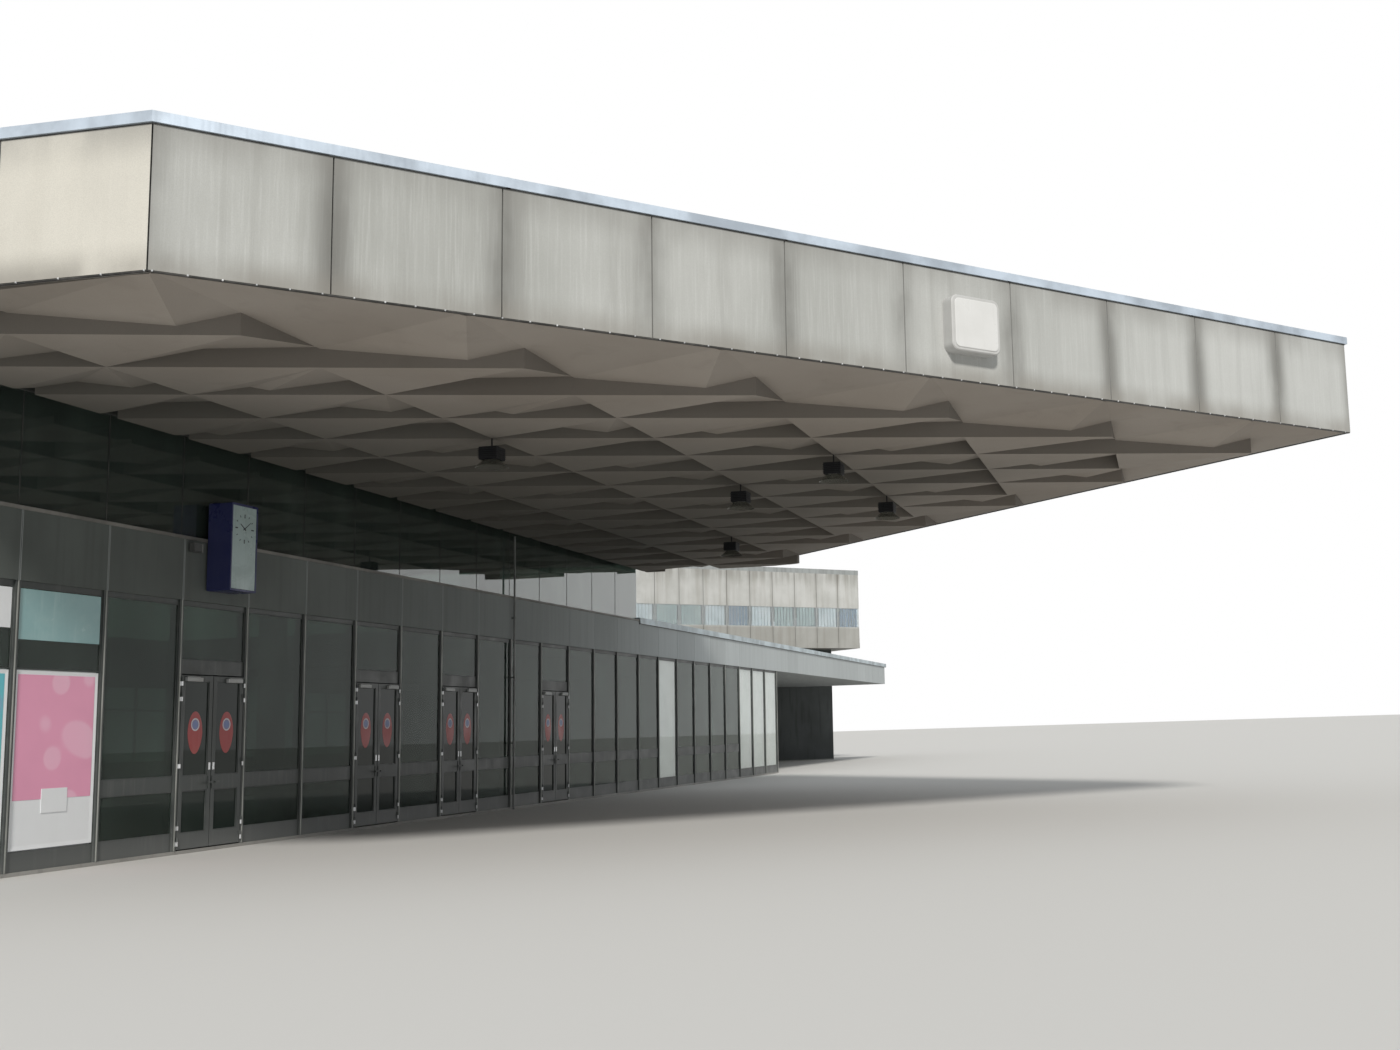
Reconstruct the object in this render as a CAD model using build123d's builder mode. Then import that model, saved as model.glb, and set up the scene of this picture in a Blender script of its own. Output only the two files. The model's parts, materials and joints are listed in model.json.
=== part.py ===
from build123d import *
import os
from math import sqrt

# Railway station building, a 1:2 scale model in millimetres at model size.
# +X runs along the shop front, -Y faces the forecourt, +Z is up.
# The origin is on the ground under the middle of the hall floor.

os.makedirs("parts", exist_ok=True)

# Main hall
bay = 660.0                 # one window bay of the shop front
cut_over = 2.0              # how far a cutter passes right through what it cuts
hall_bays = 15
hall_depth = 6000.0
floor_thickness = 20.0
wall_thickness = 120.0

# Heights above the ground
glazing_head = 1555.0       # top of the shop windows
band_top = 1955.0           # top of the concrete band over the windows
fold_low = 2515.0           # lowest edges of the folded ceiling
fold_rise = 118.0           # from those edges up to the roof's lower edge
roof_top = 3330.0           # top of the metal coping

# Roof edge
fold_cell = 1350.0          # side of the square that the ceiling repeats on
panel_pitch = 783.5
corner_panel = 740.0
left_panels = 10            # on the edge that runs from the near corner to the prow
right_panels = 10           # on the edge that runs from the prow to the far corner
left_overhang = 855.0
rear_overhang = 735.0
panel_thickness = 40.0
panel_gap = 7.0
coping_height = 50.0
coping_width = 150.0
coping_lip = 14.0
ceiling_cover = 12.0        # least thickness of the folded ceiling
ceiling_thickness = 60.0
deck_thickness = 80.0
edge_beam_width = 150.0

# Shop front
mullion_width = 36.0
mullion_depth = 70.0
mullion_setback = 6.0       # behind the band's face
rail_depth = 50.0
rail_setback = 10.0         # behind the posts' front
glass_setback = 30.0
glass_thickness = 6.0
band_thickness = 30.0
band_stand_off = 30.0       # the band's face stands this far in front of the upper glass
band_gap = 4.0
band_coping_height = 20.0
band_coping_lip = 10.0
beam_depth = 220.0
head_rail = 30.0
mid_rail_low = 380.0
mid_rail_high = 470.0
plinth_top = 125.0
poster_top = 1085.0
sheet_thickness = 12.0
first_bays = 2              # bays with poster boards at the left end
opaque_bays = [15, 20, 21, 22]
side_window_width = 1180.0
side_window_sill = 470.0
side_window_head = 1400.0
clerestory_gap = 5.0

# Doors
door_bays = [2, 5, 7, 10]
leaf_top = 1090.0
leaf_thickness = 26.0
leaf_gap = 6.0
leaf_floor_gap = 8.0
stile_width = 34.0
bottom_rail = 95.0
transom_low = 1098.0
transom_high = 1186.0
hinge_radius = 5.5
hinge_stand_off = 6.0       # from the leaf's face to the middle of the hinge
hinge_length = 52.0
hinge_play = 0.3
hinge_plate = 3.0
hinge_plate_width = 16.0
hinge_heights = [75.0, 170.0, 545.0, 955.0, 1050.0]
handle_height = 425.0
lock_plate_width = 20.4
lock_plate_depth = 4.0
lock_plate_rise = 80.0
grip_length = 52.0
grip_depth = 7.0
grip_thickness = 9.0
grip_reach = 22.0           # from the leaf's face to the grip's back
grip_offset = 18.0          # from the lock plate to the middle of the grip
spindle_reach = 24.0

# Low wing
wing_bays = 9               # glazed bays to the right of the hall
canopy_bays = 22            # bays under the low roof to the right of the hall

# Upper storey over the wing's far end, turned by 45 degrees
office_corner_x = 24895.0   # its near corner, from the hall's left wall plane
office_corner_y = 590.0     # and behind the upper glass
office_panel = 535.0
office_panels_long = 14
office_panels_short = 7
office_base = 2355.0
office_top = 4040.0
office_window_low = 2800.0
office_window_high = 3215.0
office_setback = 450.0
office_floor_slab = 110.0
office_roof_slab = 100.0
office_skin = 50.0
office_joint = 8.0
office_post = 26.0
office_glass_setback = 4.0

# Fittings
column_radius = 100.0
column_places = [3845.0, 7395.0]    # from the hall's left wall plane
column_behind_glass = 590.0
downpipe_radius = 14.0
downpipe_place = 6595.0
downpipe_clips = [600.0, 1200.0, 1750.0]
downpipe_clearance = 2.0
clip_width = 14.0
clip_height = 20.0
sign_width = 350.0
sign_height = 330.0
sign_depth = 90.0
sign_corner = 45.0
sign_edge = 6.0
sign_panel = 5.57           # panels from the near corner to the sign's middle
sign_middle = 2947.0
clock_width = 270.0
clock_height = 563.0
clock_depth = 165.0
clock_bottom = 1625.0
clock_place = 2315.0        # from the hall's left wall plane
clock_bracket = 14.0
clock_bracket_width = 162.0
clock_bracket_rise = 120.0
clock_corner = 10.0
clock_rim = 12.0
clock_dial_corner = 6.0
clock_dial_depth = 4.0
lamp_side = 120.0
lamp_height = 80.0
lamp_drop = 60.0
lamp_rod = 5.0

# Plan lines that follow from the sizes above
hall_left = -hall_bays * bay / 2
hall_right = hall_bays * bay / 2
hall_front = -hall_depth / 2
hall_back = hall_depth / 2
band_face = hall_front - band_stand_off
beam_front = band_face + band_thickness
beam_back = beam_front + beam_depth
wall_inner = hall_back - wall_thickness
mullion_front = band_face + mullion_setback
mullion_back = mullion_front + mullion_depth
beam_top = band_top - band_coping_height
wing_end = hall_right + wing_bays * bay
canopy_end = hall_right + canopy_bays * bay
front_bay_count = hall_bays + wing_bays
fold_step = fold_cell / sqrt(2)
fold_high = fold_low + fold_rise
ceiling_under = fold_high + ceiling_cover
ceiling_top = ceiling_under + ceiling_thickness
fascia_top = roof_top - coping_height
deck_under = fascia_top - deck_thickness
left_edge_length = (left_panels - 2) * panel_pitch + 2 * corner_panel
right_edge_length = (right_panels - 2) * panel_pitch + 2 * corner_panel

# Roof outline: near corner, prow, far corner and the two rear corners
near_corner = (hall_left - left_overhang, hall_front - 2 * fold_step)
prow = (near_corner[0] + left_edge_length / sqrt(2), near_corner[1] - left_edge_length / sqrt(2))
far_corner = (prow[0] + right_edge_length / sqrt(2), prow[1] + right_edge_length / sqrt(2))
rear_y = hall_back + rear_overhang
roof_outline = [near_corner, prow, far_corner, (far_corner[0], rear_y), (near_corner[0], rear_y)]


def inset(points, distance):
    """Corner points of a convex outline moved inwards by a distance."""
    moved = []
    for i, point in enumerate(points):
        before, after = Vector(*points[i - 1]), Vector(*points[(i + 1) % len(points)])
        corner = Vector(*point)
        along_in = (corner - before).normalized()
        along_out = (after - corner).normalized()
        normal_in = Vector(-along_in.Y, along_in.X)
        normal_out = Vector(-along_out.Y, along_out.X)
        bisector = (normal_in + normal_out).normalized()
        reach = distance / bisector.dot(normal_in)
        target = corner + bisector * reach
        moved.append((target.X, target.Y))
    return moved


def slab(outline, low, high):
    """A flat slab of a given plan outline."""
    with BuildPart() as piece:
        with BuildSketch(Plane.XY.offset(low)):
            Polygon(*outline, align=None)
        extrude(amount=high - low)
    return piece


def ring(outer, inner, low, high):
    """A closed rim between two plan outlines."""
    with BuildPart() as piece:
        with BuildSketch(Plane.XY.offset(low)):
            Polygon(*outer, align=None)
            Polygon(*inner, align=None, mode=Mode.SUBTRACT)
        extrude(amount=high - low)
    return piece


def block(x0, x1, y0, y1, z0, z1):
    """A plain rectangular slab or post between two corners."""
    with BuildPart(Plane((x0, y0, z0))) as piece:
        Box(x1 - x0, y1 - y0, z1 - z0, align=(Align.MIN, Align.MIN, Align.MIN))
    return piece


def save(piece, name):
    """Label a finished piece and write it."""
    piece.part.label = name
    export_step(piece.part, f"parts/{name}.step")


# Floor: one slab under the hall and the glazed wing, out to the posts
save(block(hall_left - mullion_width / 2, wing_end + mullion_width / 2, mullion_front, hall_back,
           0, floor_thickness), "floor_slab")

# Roof: ceiling slab, edge beam and deck, stacked inside the edge panels
roof_inner = inset(roof_outline, panel_thickness)
save(slab(roof_inner, ceiling_under, ceiling_top), "ceiling_slab")
beam_inner = inset(roof_outline, panel_thickness + edge_beam_width)
save(ring(roof_inner, beam_inner, ceiling_top, deck_under), "roof_edge_beam")
save(slab(roof_inner, deck_under, fascia_top), "roof_deck")
coping_outer = inset(roof_outline, -coping_lip)
coping_inner = inset(roof_outline, coping_width - coping_lip)
save(ring(coping_outer, coping_inner, fascia_top, roof_top), "roof_coping")


def edge_panels(edges):
    """Upright panels along some edges of the roof, with open joints between them."""
    with BuildPart() as panels:
        for start in edges:
            end = (start + 1) % len(roof_outline)
            first, last = Vector(*roof_outline[start]), Vector(*roof_outline[end])
            length = (last - first).length
            along = (last - first).normalized()
            angle = Vector(1, 0).get_signed_angle(along, Vector(0, 0, 1))
            with BuildSketch(Plane.XY.offset(fold_high)):
                Polygon(
                    roof_outline[start], roof_outline[end], roof_inner[end], roof_inner[start],
                    align=None,
                )
            extrude(amount=fascia_top - fold_high)
            count = max(1, round((length - 2 * corner_panel) / panel_pitch))
            pitch = (length - 2 * corner_panel) / count
            cuts = [0.0] + [corner_panel + pitch * k for k in range(count + 1)] + [length]
            for k, distance in enumerate(cuts):
                spot = first + along * distance
                turn = angle
                if k in (0, len(cuts) - 1):
                    corner = roof_outline[start if k == 0 else end]
                    inner = roof_inner[start if k == 0 else end]
                    across = Vector(*inner) - Vector(*corner)
                    turn = Vector(0, 1).get_signed_angle(across, Vector(0, 0, 1))
                with Locations(Location((spot.X, spot.Y, (fold_high + fascia_top) / 2), (0, 0, turn))):
                    Box(panel_gap, 4 * panel_thickness, fascia_top - fold_high + cut_over,
                        mode=Mode.SUBTRACT)
    return panels


save(edge_panels([0, 1]), "fascia_front")
save(edge_panels([2, 3, 4]), "fascia_rear")


# Folded ceiling. A square grid turned by 45 degrees, whose diagonals run along X.
# Each strip between two diagonals starts low and rises to a broken edge, where it drops back.
def grid_point(diagonal, row):
    """Plan point on a diagonal, where a third of a cell is one row."""
    x = near_corner[0] + (diagonal + 2 * row / 3) * fold_step
    y = near_corner[1] - diagonal * fold_step
    return x, y


def between(first, second, share):
    """Plan point at a share of the way between two points."""
    return tuple(a + (b - a) * share for a, b in zip(first, second))


# Each profile gives places along the far edge and heights there, as shares of the full rise.
fold_profiles = {
    0: [(0.45, 0.80), (1.0, 0.90)],
    1: [(0.30, 0.36), (0.40, 0.20), (1.0, 0.92)],
    2: [(0.43, 0.59), (0.71, 0.32), (1.0, 0.87)],
}
edge_dip_share = 0.72
edge_valley, edge_dip, edge_tip = 0.83, 0.36, 0.92


def hanging_solid(facets):
    """A solid from the ceiling down to facets given as lists of plan points and heights."""
    faces = []
    edges = {}
    for facet in facets:
        corners = [Vector(x, y, fold_low + height) for (x, y), height in facet]
        faces.append(Face(Wire.make_polygon(corners, close=True)))
        lid = [Vector(c.X, c.Y, ceiling_under) for c in corners]
        faces.append(Face(Wire.make_polygon(lid, close=True)))
        for k, corner in enumerate(corners):
            following = corners[(k + 1) % len(corners)]
            key = tuple(sorted([(round(p.X, 2), round(p.Y, 2)) for p in (corner, following)]))
            edges.setdefault(key, []).append((corner, following))
    for shared in edges.values():
        if len(shared) == 1:
            low_a, low_b = shared[0]
            top_a, top_b = (Vector(p.X, p.Y, ceiling_under) for p in shared[0])
            faces.append(Face(Wire.make_polygon([low_a, low_b, top_b, top_a], close=True)))
    return Solid(Shell(faces))


def strip_solid(diagonal, row):
    """One strip: flat and low at its near row, broken and raised at its far row."""
    near_left, near_right = grid_point(diagonal, row), grid_point(diagonal + 1, row - 1)
    far_left, far_right = grid_point(diagonal, row + 1), grid_point(diagonal + 1, row)
    facets = [[(near_left, 0.0), (near_right, 0.0), (far_left, 0.0)]]
    previous = (far_left, 0.0)
    for share, height in fold_profiles[(row + 1) % 3]:
        spot = (between(far_left, far_right, share), height * fold_rise)
        facets.append([(near_right, 0.0), spot, previous])
        previous = spot
    return hanging_solid(facets)


def edge_solids(diagonal):
    """The two flatter facets between a diagonal's start and the roof edge."""
    apex, next_apex = grid_point(diagonal, 0), grid_point(diagonal + 1, 0)
    valley, tip = grid_point(diagonal, 2), grid_point(diagonal + 1, 1)
    dip = (between(valley, tip, edge_dip_share), edge_dip * fold_rise)
    start = (valley, edge_valley * fold_rise)
    flat = hanging_solid([[(apex, fold_rise), (next_apex, fold_rise), start]])
    turned = hanging_solid([
        [start, (next_apex, fold_rise), dip],
        [(next_apex, fold_rise), (tip, edge_tip * fold_rise), dip],
    ])
    return [flat, turned]


def edge_point(diagonal):
    """Plan point where a diagonal meets the roof's right edge."""
    y = grid_point(diagonal, 0)[1]
    return min(far_corner[0], prow[0] + y - prow[1]), y


def last_low_row(diagonal):
    """The last row of a diagonal that stays low, two rows short of the roof's right edge."""
    edge_row = ((edge_point(diagonal)[0] - near_corner[0]) / fold_step - diagonal) * 1.5
    return int(edge_row) - 2


def border_solid(diagonal):
    """The smooth facets between the last drop of a strip row and the right edge."""
    row = last_low_row(diagonal)
    start_left, start_right = grid_point(diagonal, row - 1), grid_point(diagonal + 1, row - 2)
    low, raised = grid_point(diagonal, row), grid_point(diagonal, row + 1)
    edge_left, edge_right = edge_point(diagonal), edge_point(diagonal + 1)
    return hanging_solid([
        [(start_left, 0.0), (start_right, 0.0), (low, 0.0)],
        [(low, 0.0), (start_right, 0.0), (edge_right, fold_rise)],
        [(low, 0.0), (edge_right, fold_rise), (raised, edge_tip * fold_rise)],
        [(raised, edge_tip * fold_rise), (edge_right, fold_rise), (edge_left, fold_rise)],
    ])


def prow_solid(diagonal):
    """The flat facets at the prow, past the last diagonal."""
    first, raised = grid_point(diagonal, 0), grid_point(diagonal, 1)
    return hanging_solid([
        [(first, fold_rise), (raised, edge_tip * fold_rise), (prow, fold_rise)],
        [(raised, edge_tip * fold_rise), (edge_point(diagonal), fold_rise), (prow, fold_rise)],
    ])


fold_area = inset(roof_outline, panel_thickness)
fold_region = [fold_area[0], fold_area[1], fold_area[2],
               (fold_area[2][0], hall_front), (fold_area[0][0], hall_front)]
prow_diagonal = int(left_edge_length / fold_cell)


def fold_group(first_diagonal, last_diagonal):
    """Ceiling folds between two diagonals, cut to the roof's outline."""
    with BuildPart() as folds:
        for diagonal in range(first_diagonal, last_diagonal):
            if diagonal == prow_diagonal:
                add(prow_solid(diagonal))
                continue
            for solid in edge_solids(diagonal):
                add(solid)
            row = 2
            border = last_low_row(diagonal) - 1 if diagonal >= 0 else None
            while row < border if border is not None else grid_point(diagonal, row)[0] < far_corner[0]:
                if grid_point(diagonal + 1, row)[0] > near_corner[0]:
                    add(strip_solid(diagonal, row))
                row += 1
            if border is not None:
                add(border_solid(diagonal))
        with BuildSketch(Plane.XY.offset(fold_low - cut_over / 2)):
            Polygon(*fold_region, align=None)
        extrude(amount=ceiling_under - fold_low + cut_over, mode=Mode.INTERSECT)
    return folds


save(fold_group(-2, 0), "ceiling_folds_1")
save(fold_group(0, 2), "ceiling_folds_2")
save(fold_group(2, 4), "ceiling_folds_3")
save(fold_group(4, 6), "ceiling_folds_4")

# Lamps under the folds: a box on a rod that hangs from a low point of the ceiling
lamp_spots = [(0, 5), (2, 4), (1, 7), (2, 7), (0, 13)]
with BuildPart() as ceiling_lamps:
    for diagonal, row in lamp_spots:
        x, y = grid_point(diagonal, row)
        with Locations((x, y, fold_low - lamp_drop)):
            Box(lamp_side, lamp_side, lamp_height, align=(Align.CENTER, Align.CENTER, Align.MAX))
            Cylinder(lamp_rod, lamp_drop, align=(Align.CENTER, Align.CENTER, Align.MIN))
save(ceiling_lamps, "ceiling_lamps")

# Light box on the sixth panel of the left front edge, with rounded corners
sign_along = corner_panel + (sign_panel - 1) * panel_pitch
sign_x = near_corner[0] + sign_along / sqrt(2)
sign_y = near_corner[1] - sign_along / sqrt(2)
sign_plane = Plane(origin=(sign_x, sign_y, sign_middle), x_dir=(1, -1, 0), z_dir=(-1, -1, 0))
with BuildPart() as fascia_sign:
    with BuildSketch(sign_plane):
        RectangleRounded(sign_width, sign_height, sign_corner)
    extrude(amount=sign_depth)
    front = fascia_sign.faces().sort_by(Axis((sign_x, sign_y, sign_middle), (-1, -1, 0)))[-1]
    chamfer(front.edges(), sign_edge)
save(fascia_sign, "fascia_sign")


# Upper glass of the hall, one pane a bay
def panes(origin, direction, count, pitch):
    """Upright panes in a row, with a thin open joint between them."""
    for k in range(count):
        spot = origin + direction * ((k + 0.5) * pitch)
        size = [glass_thickness, glass_thickness]
        size[0 if abs(direction.X) > 0.5 else 1] = pitch - clerestory_gap
        with Locations((spot.X, spot.Y, (beam_top + ceiling_under) / 2)):
            Box(size[0], size[1], ceiling_under - beam_top)


half_glass = glass_thickness / 2
side_panes = round(hall_depth / bay)
side_start = hall_front + glass_thickness
side_pitch = (hall_depth - 2 * glass_thickness) / side_panes
with BuildPart() as clerestory_front:
    panes(Vector(hall_left, hall_front + half_glass), Vector(1, 0), hall_bays, bay)
save(clerestory_front, "clerestory_front")
with BuildPart() as clerestory_rear:
    panes(Vector(hall_left, hall_back - half_glass), Vector(1, 0), hall_bays, bay)
    panes(Vector(hall_left + half_glass, side_start), Vector(0, 1), side_panes, side_pitch)
    panes(Vector(hall_right - half_glass, side_start), Vector(0, 1), side_panes, side_pitch)
save(clerestory_rear, "clerestory_rear")

# Beams over the shop windows and over the way into the wing, which carry the upper glass
with BuildPart() as hall_beams:
    with BuildSketch(Plane.XY.offset(glazing_head)):
        Polygon((hall_left, beam_front), (hall_right, beam_front), (hall_right, wall_inner),
                (hall_right - beam_depth, wall_inner), (hall_right - beam_depth, beam_back),
                (hall_left, beam_back), align=None)
    extrude(amount=beam_top - glazing_head)
save(hall_beams, "hall_beams")

# Concrete band, one panel a bay, with a thin light coping on top
with BuildPart() as band_front:
    for k in range(hall_bays + canopy_bays):
        with Locations((hall_left + (k + 0.5) * bay, band_face, glazing_head)):
            Box(bay - band_gap, band_thickness, beam_top - glazing_head,
                align=(Align.CENTER, Align.MIN, Align.MIN))
save(band_front, "band_front")
save(block(hall_left, canopy_end, band_face - band_coping_lip, beam_front, beam_top, band_top), "band_coping")

# Left and back walls, each with a row of windows cut through
side_window_middle = (side_window_sill + side_window_head) / 2
side_window_rise = side_window_head - side_window_sill
left_windows = int((hall_depth - 2 * wall_thickness) // (2 * bay))
back_windows = int((wing_end - hall_left - 2 * wall_thickness) // (2 * bay))
left_middle = (mullion_back + wall_inner) / 2
back_middle = (hall_left + wing_end) / 2
with BuildPart() as wall_left:
    with BuildSketch(Plane.YZ.offset(hall_left)):
        Polygon((mullion_back, floor_thickness), (hall_back, floor_thickness), (hall_back, beam_top),
                (beam_back, beam_top), (beam_back, glazing_head), (mullion_back, glazing_head), align=None)
        with Locations((left_middle, side_window_middle)):
            with GridLocations(2 * bay, 1, left_windows, 1):
                Rectangle(side_window_width, side_window_rise, mode=Mode.SUBTRACT)
    extrude(amount=wall_thickness)
save(wall_left, "wall_left")
with BuildPart() as wall_back:
    with BuildSketch(Plane.XZ.offset(-hall_back)):
        Polygon((hall_left + wall_thickness, floor_thickness), (wing_end, floor_thickness),
                (wing_end, beam_top), (hall_left + wall_thickness, beam_top), align=None)
        with Locations((back_middle, side_window_middle)):
            with GridLocations(2 * bay, 1, back_windows, 1):
                Rectangle(side_window_width, side_window_rise, mode=Mode.SUBTRACT)
    extrude(amount=wall_thickness)
save(wall_back, "wall_back")
with BuildPart() as side_windows:
    with Locations((hall_left + wall_thickness / 2, left_middle, side_window_middle)):
        with GridLocations(1, 2 * bay, 1, left_windows):
            Box(glass_thickness, side_window_width, side_window_rise)
    with Locations((back_middle, hall_back - wall_thickness / 2, side_window_middle)):
        with GridLocations(2 * bay, 1, back_windows, 1):
            Box(side_window_width, glass_thickness, side_window_rise)
save(side_windows, "side_windows")

# Round columns behind the glass
with BuildPart() as hall_columns:
    for place in column_places:
        with Locations((hall_left + place, hall_front + column_behind_glass, floor_thickness)):
            Cylinder(column_radius, ceiling_under - floor_thickness,
                     align=(Align.CENTER, Align.CENTER, Align.MIN))
save(hall_columns, "hall_columns")

# Shop front. Post 0 stands one bay in from the hall's left end, and bay n runs from post n to n + 1.
rail_front = mullion_front + rail_setback
glass_front = mullion_front + glass_setback
first_post = -1
last_post = hall_bays + wing_bays - 1


def post_x(number):
    """Centre of a post."""
    return hall_left + (number + 1) * bay


def fill(number, low, high, front, depth):
    """Add a sheet or rail between the two posts of a bay."""
    with Locations(((post_x(number) + post_x(number + 1)) / 2, front, low)):
        Box(bay - mullion_width, depth, high - low, align=(Align.CENTER, Align.MIN, Align.MIN))


def is_glazed(number):
    """Whether a bay has plain shop windows down to the plinth."""
    return number >= first_post + first_bays and number not in opaque_bays + door_bays


# Frames between the doors: posts, head, middle rail and plinth in one, and the doors' transoms
door_sides = [number + side for number in sorted(door_bays) for side in (0, 1)]
run_ends = [first_post] + door_sides + [last_post]
with BuildPart() as shop_frames:
    for first, last in zip(run_ends[0::2], run_ends[1::2]):
        for number in range(first, last + 1):
            with Locations((post_x(number), mullion_front, floor_thickness)):
                Box(mullion_width, mullion_depth, glazing_head - floor_thickness,
                    align=(Align.CENTER, Align.MIN, Align.MIN))
        for number in range(first, last):
            fill(number, floor_thickness, plinth_top, rail_front, rail_depth)
            fill(number, glazing_head - head_rail, glazing_head, rail_front, rail_depth)
            if is_glazed(number):
                fill(number, mid_rail_low, mid_rail_high, rail_front, rail_depth)
save(shop_frames, "shop_frames")
with BuildPart() as door_heads:
    for number in door_bays:
        fill(number, transom_low, transom_high, rail_front, rail_depth)
        fill(number, glazing_head - head_rail, glazing_head, rail_front, rail_depth)
save(door_heads, "door_heads")

# Glass between the rails, and the closed sheets: poster boards and pale opaque panels
with BuildPart() as shop_glass:
    for number in range(first_post, last_post):
        if number in door_bays:
            fill(number, transom_high, glazing_head - head_rail, glass_front, glass_thickness)
        elif is_glazed(number):
            fill(number, plinth_top, mid_rail_low, glass_front, glass_thickness)
            fill(number, mid_rail_high, glazing_head - head_rail, glass_front, glass_thickness)
        elif number < first_post + first_bays:
            fill(number, poster_top, glazing_head - head_rail, glass_front, glass_thickness)
save(shop_glass, "shop_glass")
with BuildPart() as poster_boards:
    for number in range(first_post, first_post + first_bays):
        fill(number, plinth_top, poster_top, glass_front, sheet_thickness)
save(poster_boards, "poster_boards")
with BuildPart() as opaque_panels:
    for number in opaque_bays:
        fill(number, plinth_top, glazing_head - head_rail, glass_front, sheet_thickness)
save(opaque_panels, "opaque_panels")

# Door leaves: a frame round a glass sheet with the upper halves of its hinges
leaf_low = floor_thickness + leaf_floor_gap
leaf_rise = leaf_top - leaf_low
leaf_width = (bay - mullion_width - 3 * leaf_gap) / 2
hinge_y = mullion_front - hinge_stand_off
half_hinge = (hinge_length - hinge_play) / 2


def hinge_x(number, side):
    """Plan place of a leaf's hinge line, in the middle of its gap to the post."""
    reach = mullion_width / 2 + leaf_gap / 2
    return post_x(number) + reach if side == "left" else post_x(number + 1) - reach


def hinge_half(x, z, toward):
    """Half a hinge: a barrel and its plate, which runs to one side of the hinge line."""
    with Locations((x, hinge_y, z)):
        Cylinder(hinge_radius, half_hinge)
    with Locations((x + toward * hinge_plate_width / 2, mullion_front - hinge_plate, z)):
        Box(hinge_plate_width, hinge_plate, half_hinge, align=(Align.CENTER, Align.MIN, Align.CENTER))
    with Locations((x + toward * hinge_radius / 2, hinge_y, z)):
        Box(hinge_radius, hinge_stand_off, half_hinge, align=(Align.CENTER, Align.MIN, Align.CENTER))


def door_leaf(number, side):
    """One leaf of a double door."""
    toward = 1 if side == "left" else -1
    edge = hinge_x(number, side)
    middle = edge + toward * (leaf_gap / 2 + leaf_width / 2)
    with BuildPart() as leaf:
        with BuildSketch(Plane.XZ.offset(-mullion_front - leaf_thickness)):
            with Locations((middle, leaf_low + leaf_rise / 2)):
                Rectangle(leaf_width, leaf_rise)
            lower_rise = mid_rail_low - leaf_low - bottom_rail
            with Locations((middle, mid_rail_low - lower_rise / 2)):
                Rectangle(leaf_width - 2 * stile_width, lower_rise, mode=Mode.SUBTRACT)
            upper_rise = leaf_top - stile_width - mid_rail_high
            with Locations((middle, mid_rail_high + upper_rise / 2)):
                Rectangle(leaf_width - 2 * stile_width, upper_rise, mode=Mode.SUBTRACT)
        extrude(amount=leaf_thickness)
        with Locations((middle, mullion_front + leaf_thickness / 2, leaf_low + leaf_rise / 2)):
            Box(leaf_width - stile_width, glass_thickness, leaf_rise - stile_width)
        for height in hinge_heights:
            hinge_half(edge, height + (half_hinge + hinge_play) / 2, toward)
        handle_x = edge + toward * (leaf_gap / 2 + leaf_width - stile_width / 2)
        with Locations((handle_x, mullion_front, handle_height)):
            Box(lock_plate_width, lock_plate_depth, lock_plate_rise,
                align=(Align.CENTER, Align.MAX, Align.CENTER))
        with Locations((handle_x - toward * grip_offset, mullion_front - grip_reach, handle_height)):
            Box(grip_length, grip_depth, grip_thickness, align=(Align.CENTER, Align.MAX, Align.CENTER))
        with Locations((handle_x, mullion_front, handle_height)):
            Box(grip_thickness, spindle_reach, grip_thickness,
                align=(Align.CENTER, Align.MAX, Align.CENTER))
    return leaf


for order, number in enumerate(sorted(door_bays), start=1):
    for side in ("left", "right"):
        save(door_leaf(number, side), f"door_{order}_{side}")

# Lower halves of the hinges, on the posts
with BuildPart() as door_hinges:
    for number in door_bays:
        for side, toward in (("left", -1), ("right", 1)):
            for height in hinge_heights:
                hinge_half(hinge_x(number, side), height - (half_hinge + hinge_play) / 2, toward)
save(door_hinges, "door_hinges")

# Clock box on a bracket in front of the band, with a recessed dial
clock_x = hall_left + clock_place
clock_back = band_face - clock_bracket
with BuildPart() as clock:
    with BuildSketch(Plane.XZ.offset(-clock_back)):
        with Locations((clock_x, clock_bottom + clock_height / 2)):
            RectangleRounded(clock_width, clock_height, clock_corner)
    extrude(amount=clock_depth)
    with BuildSketch(Plane.XZ.offset(clock_depth - clock_back)):
        with Locations((clock_x, clock_bottom + clock_height / 2)):
            RectangleRounded(clock_width - 2 * clock_rim, clock_height - 2 * clock_rim, clock_dial_corner)
    extrude(amount=-clock_dial_depth, mode=Mode.SUBTRACT)
    with Locations((clock_x, clock_back, (glazing_head + beam_top) / 2)):
        Box(clock_bracket_width, clock_bracket, clock_bracket_rise,
            align=(Align.CENTER, Align.MIN, Align.CENTER))
save(clock, "clock")

# Thin pipe from the ceiling to the ground in front of the band, held by clips
pipe_x = hall_left + downpipe_place
pipe_y = band_face - band_coping_lip - downpipe_radius - downpipe_clearance
with BuildPart() as downpipe:
    with Locations((pipe_x, pipe_y, 0)):
        Cylinder(downpipe_radius, fold_low, align=(Align.CENTER, Align.CENTER, Align.MIN))
    for height in downpipe_clips:
        reach = (band_face if height > glazing_head else mullion_front) - pipe_y
        with Locations((pipe_x, pipe_y, height)):
            Box(clip_width, reach, clip_height, align=(Align.CENTER, Align.MIN, Align.CENTER))
save(downpipe, "downpipe")

# Office storey over the wing's far end. Its long side runs back to the left at 45 degrees.
office_long = office_panels_long * office_panel
office_short = office_panels_short * office_panel
office_plane = Plane(origin=(hall_left + office_corner_x, hall_front + office_corner_y, 0), x_dir=(-1, 1, 0))


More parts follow.
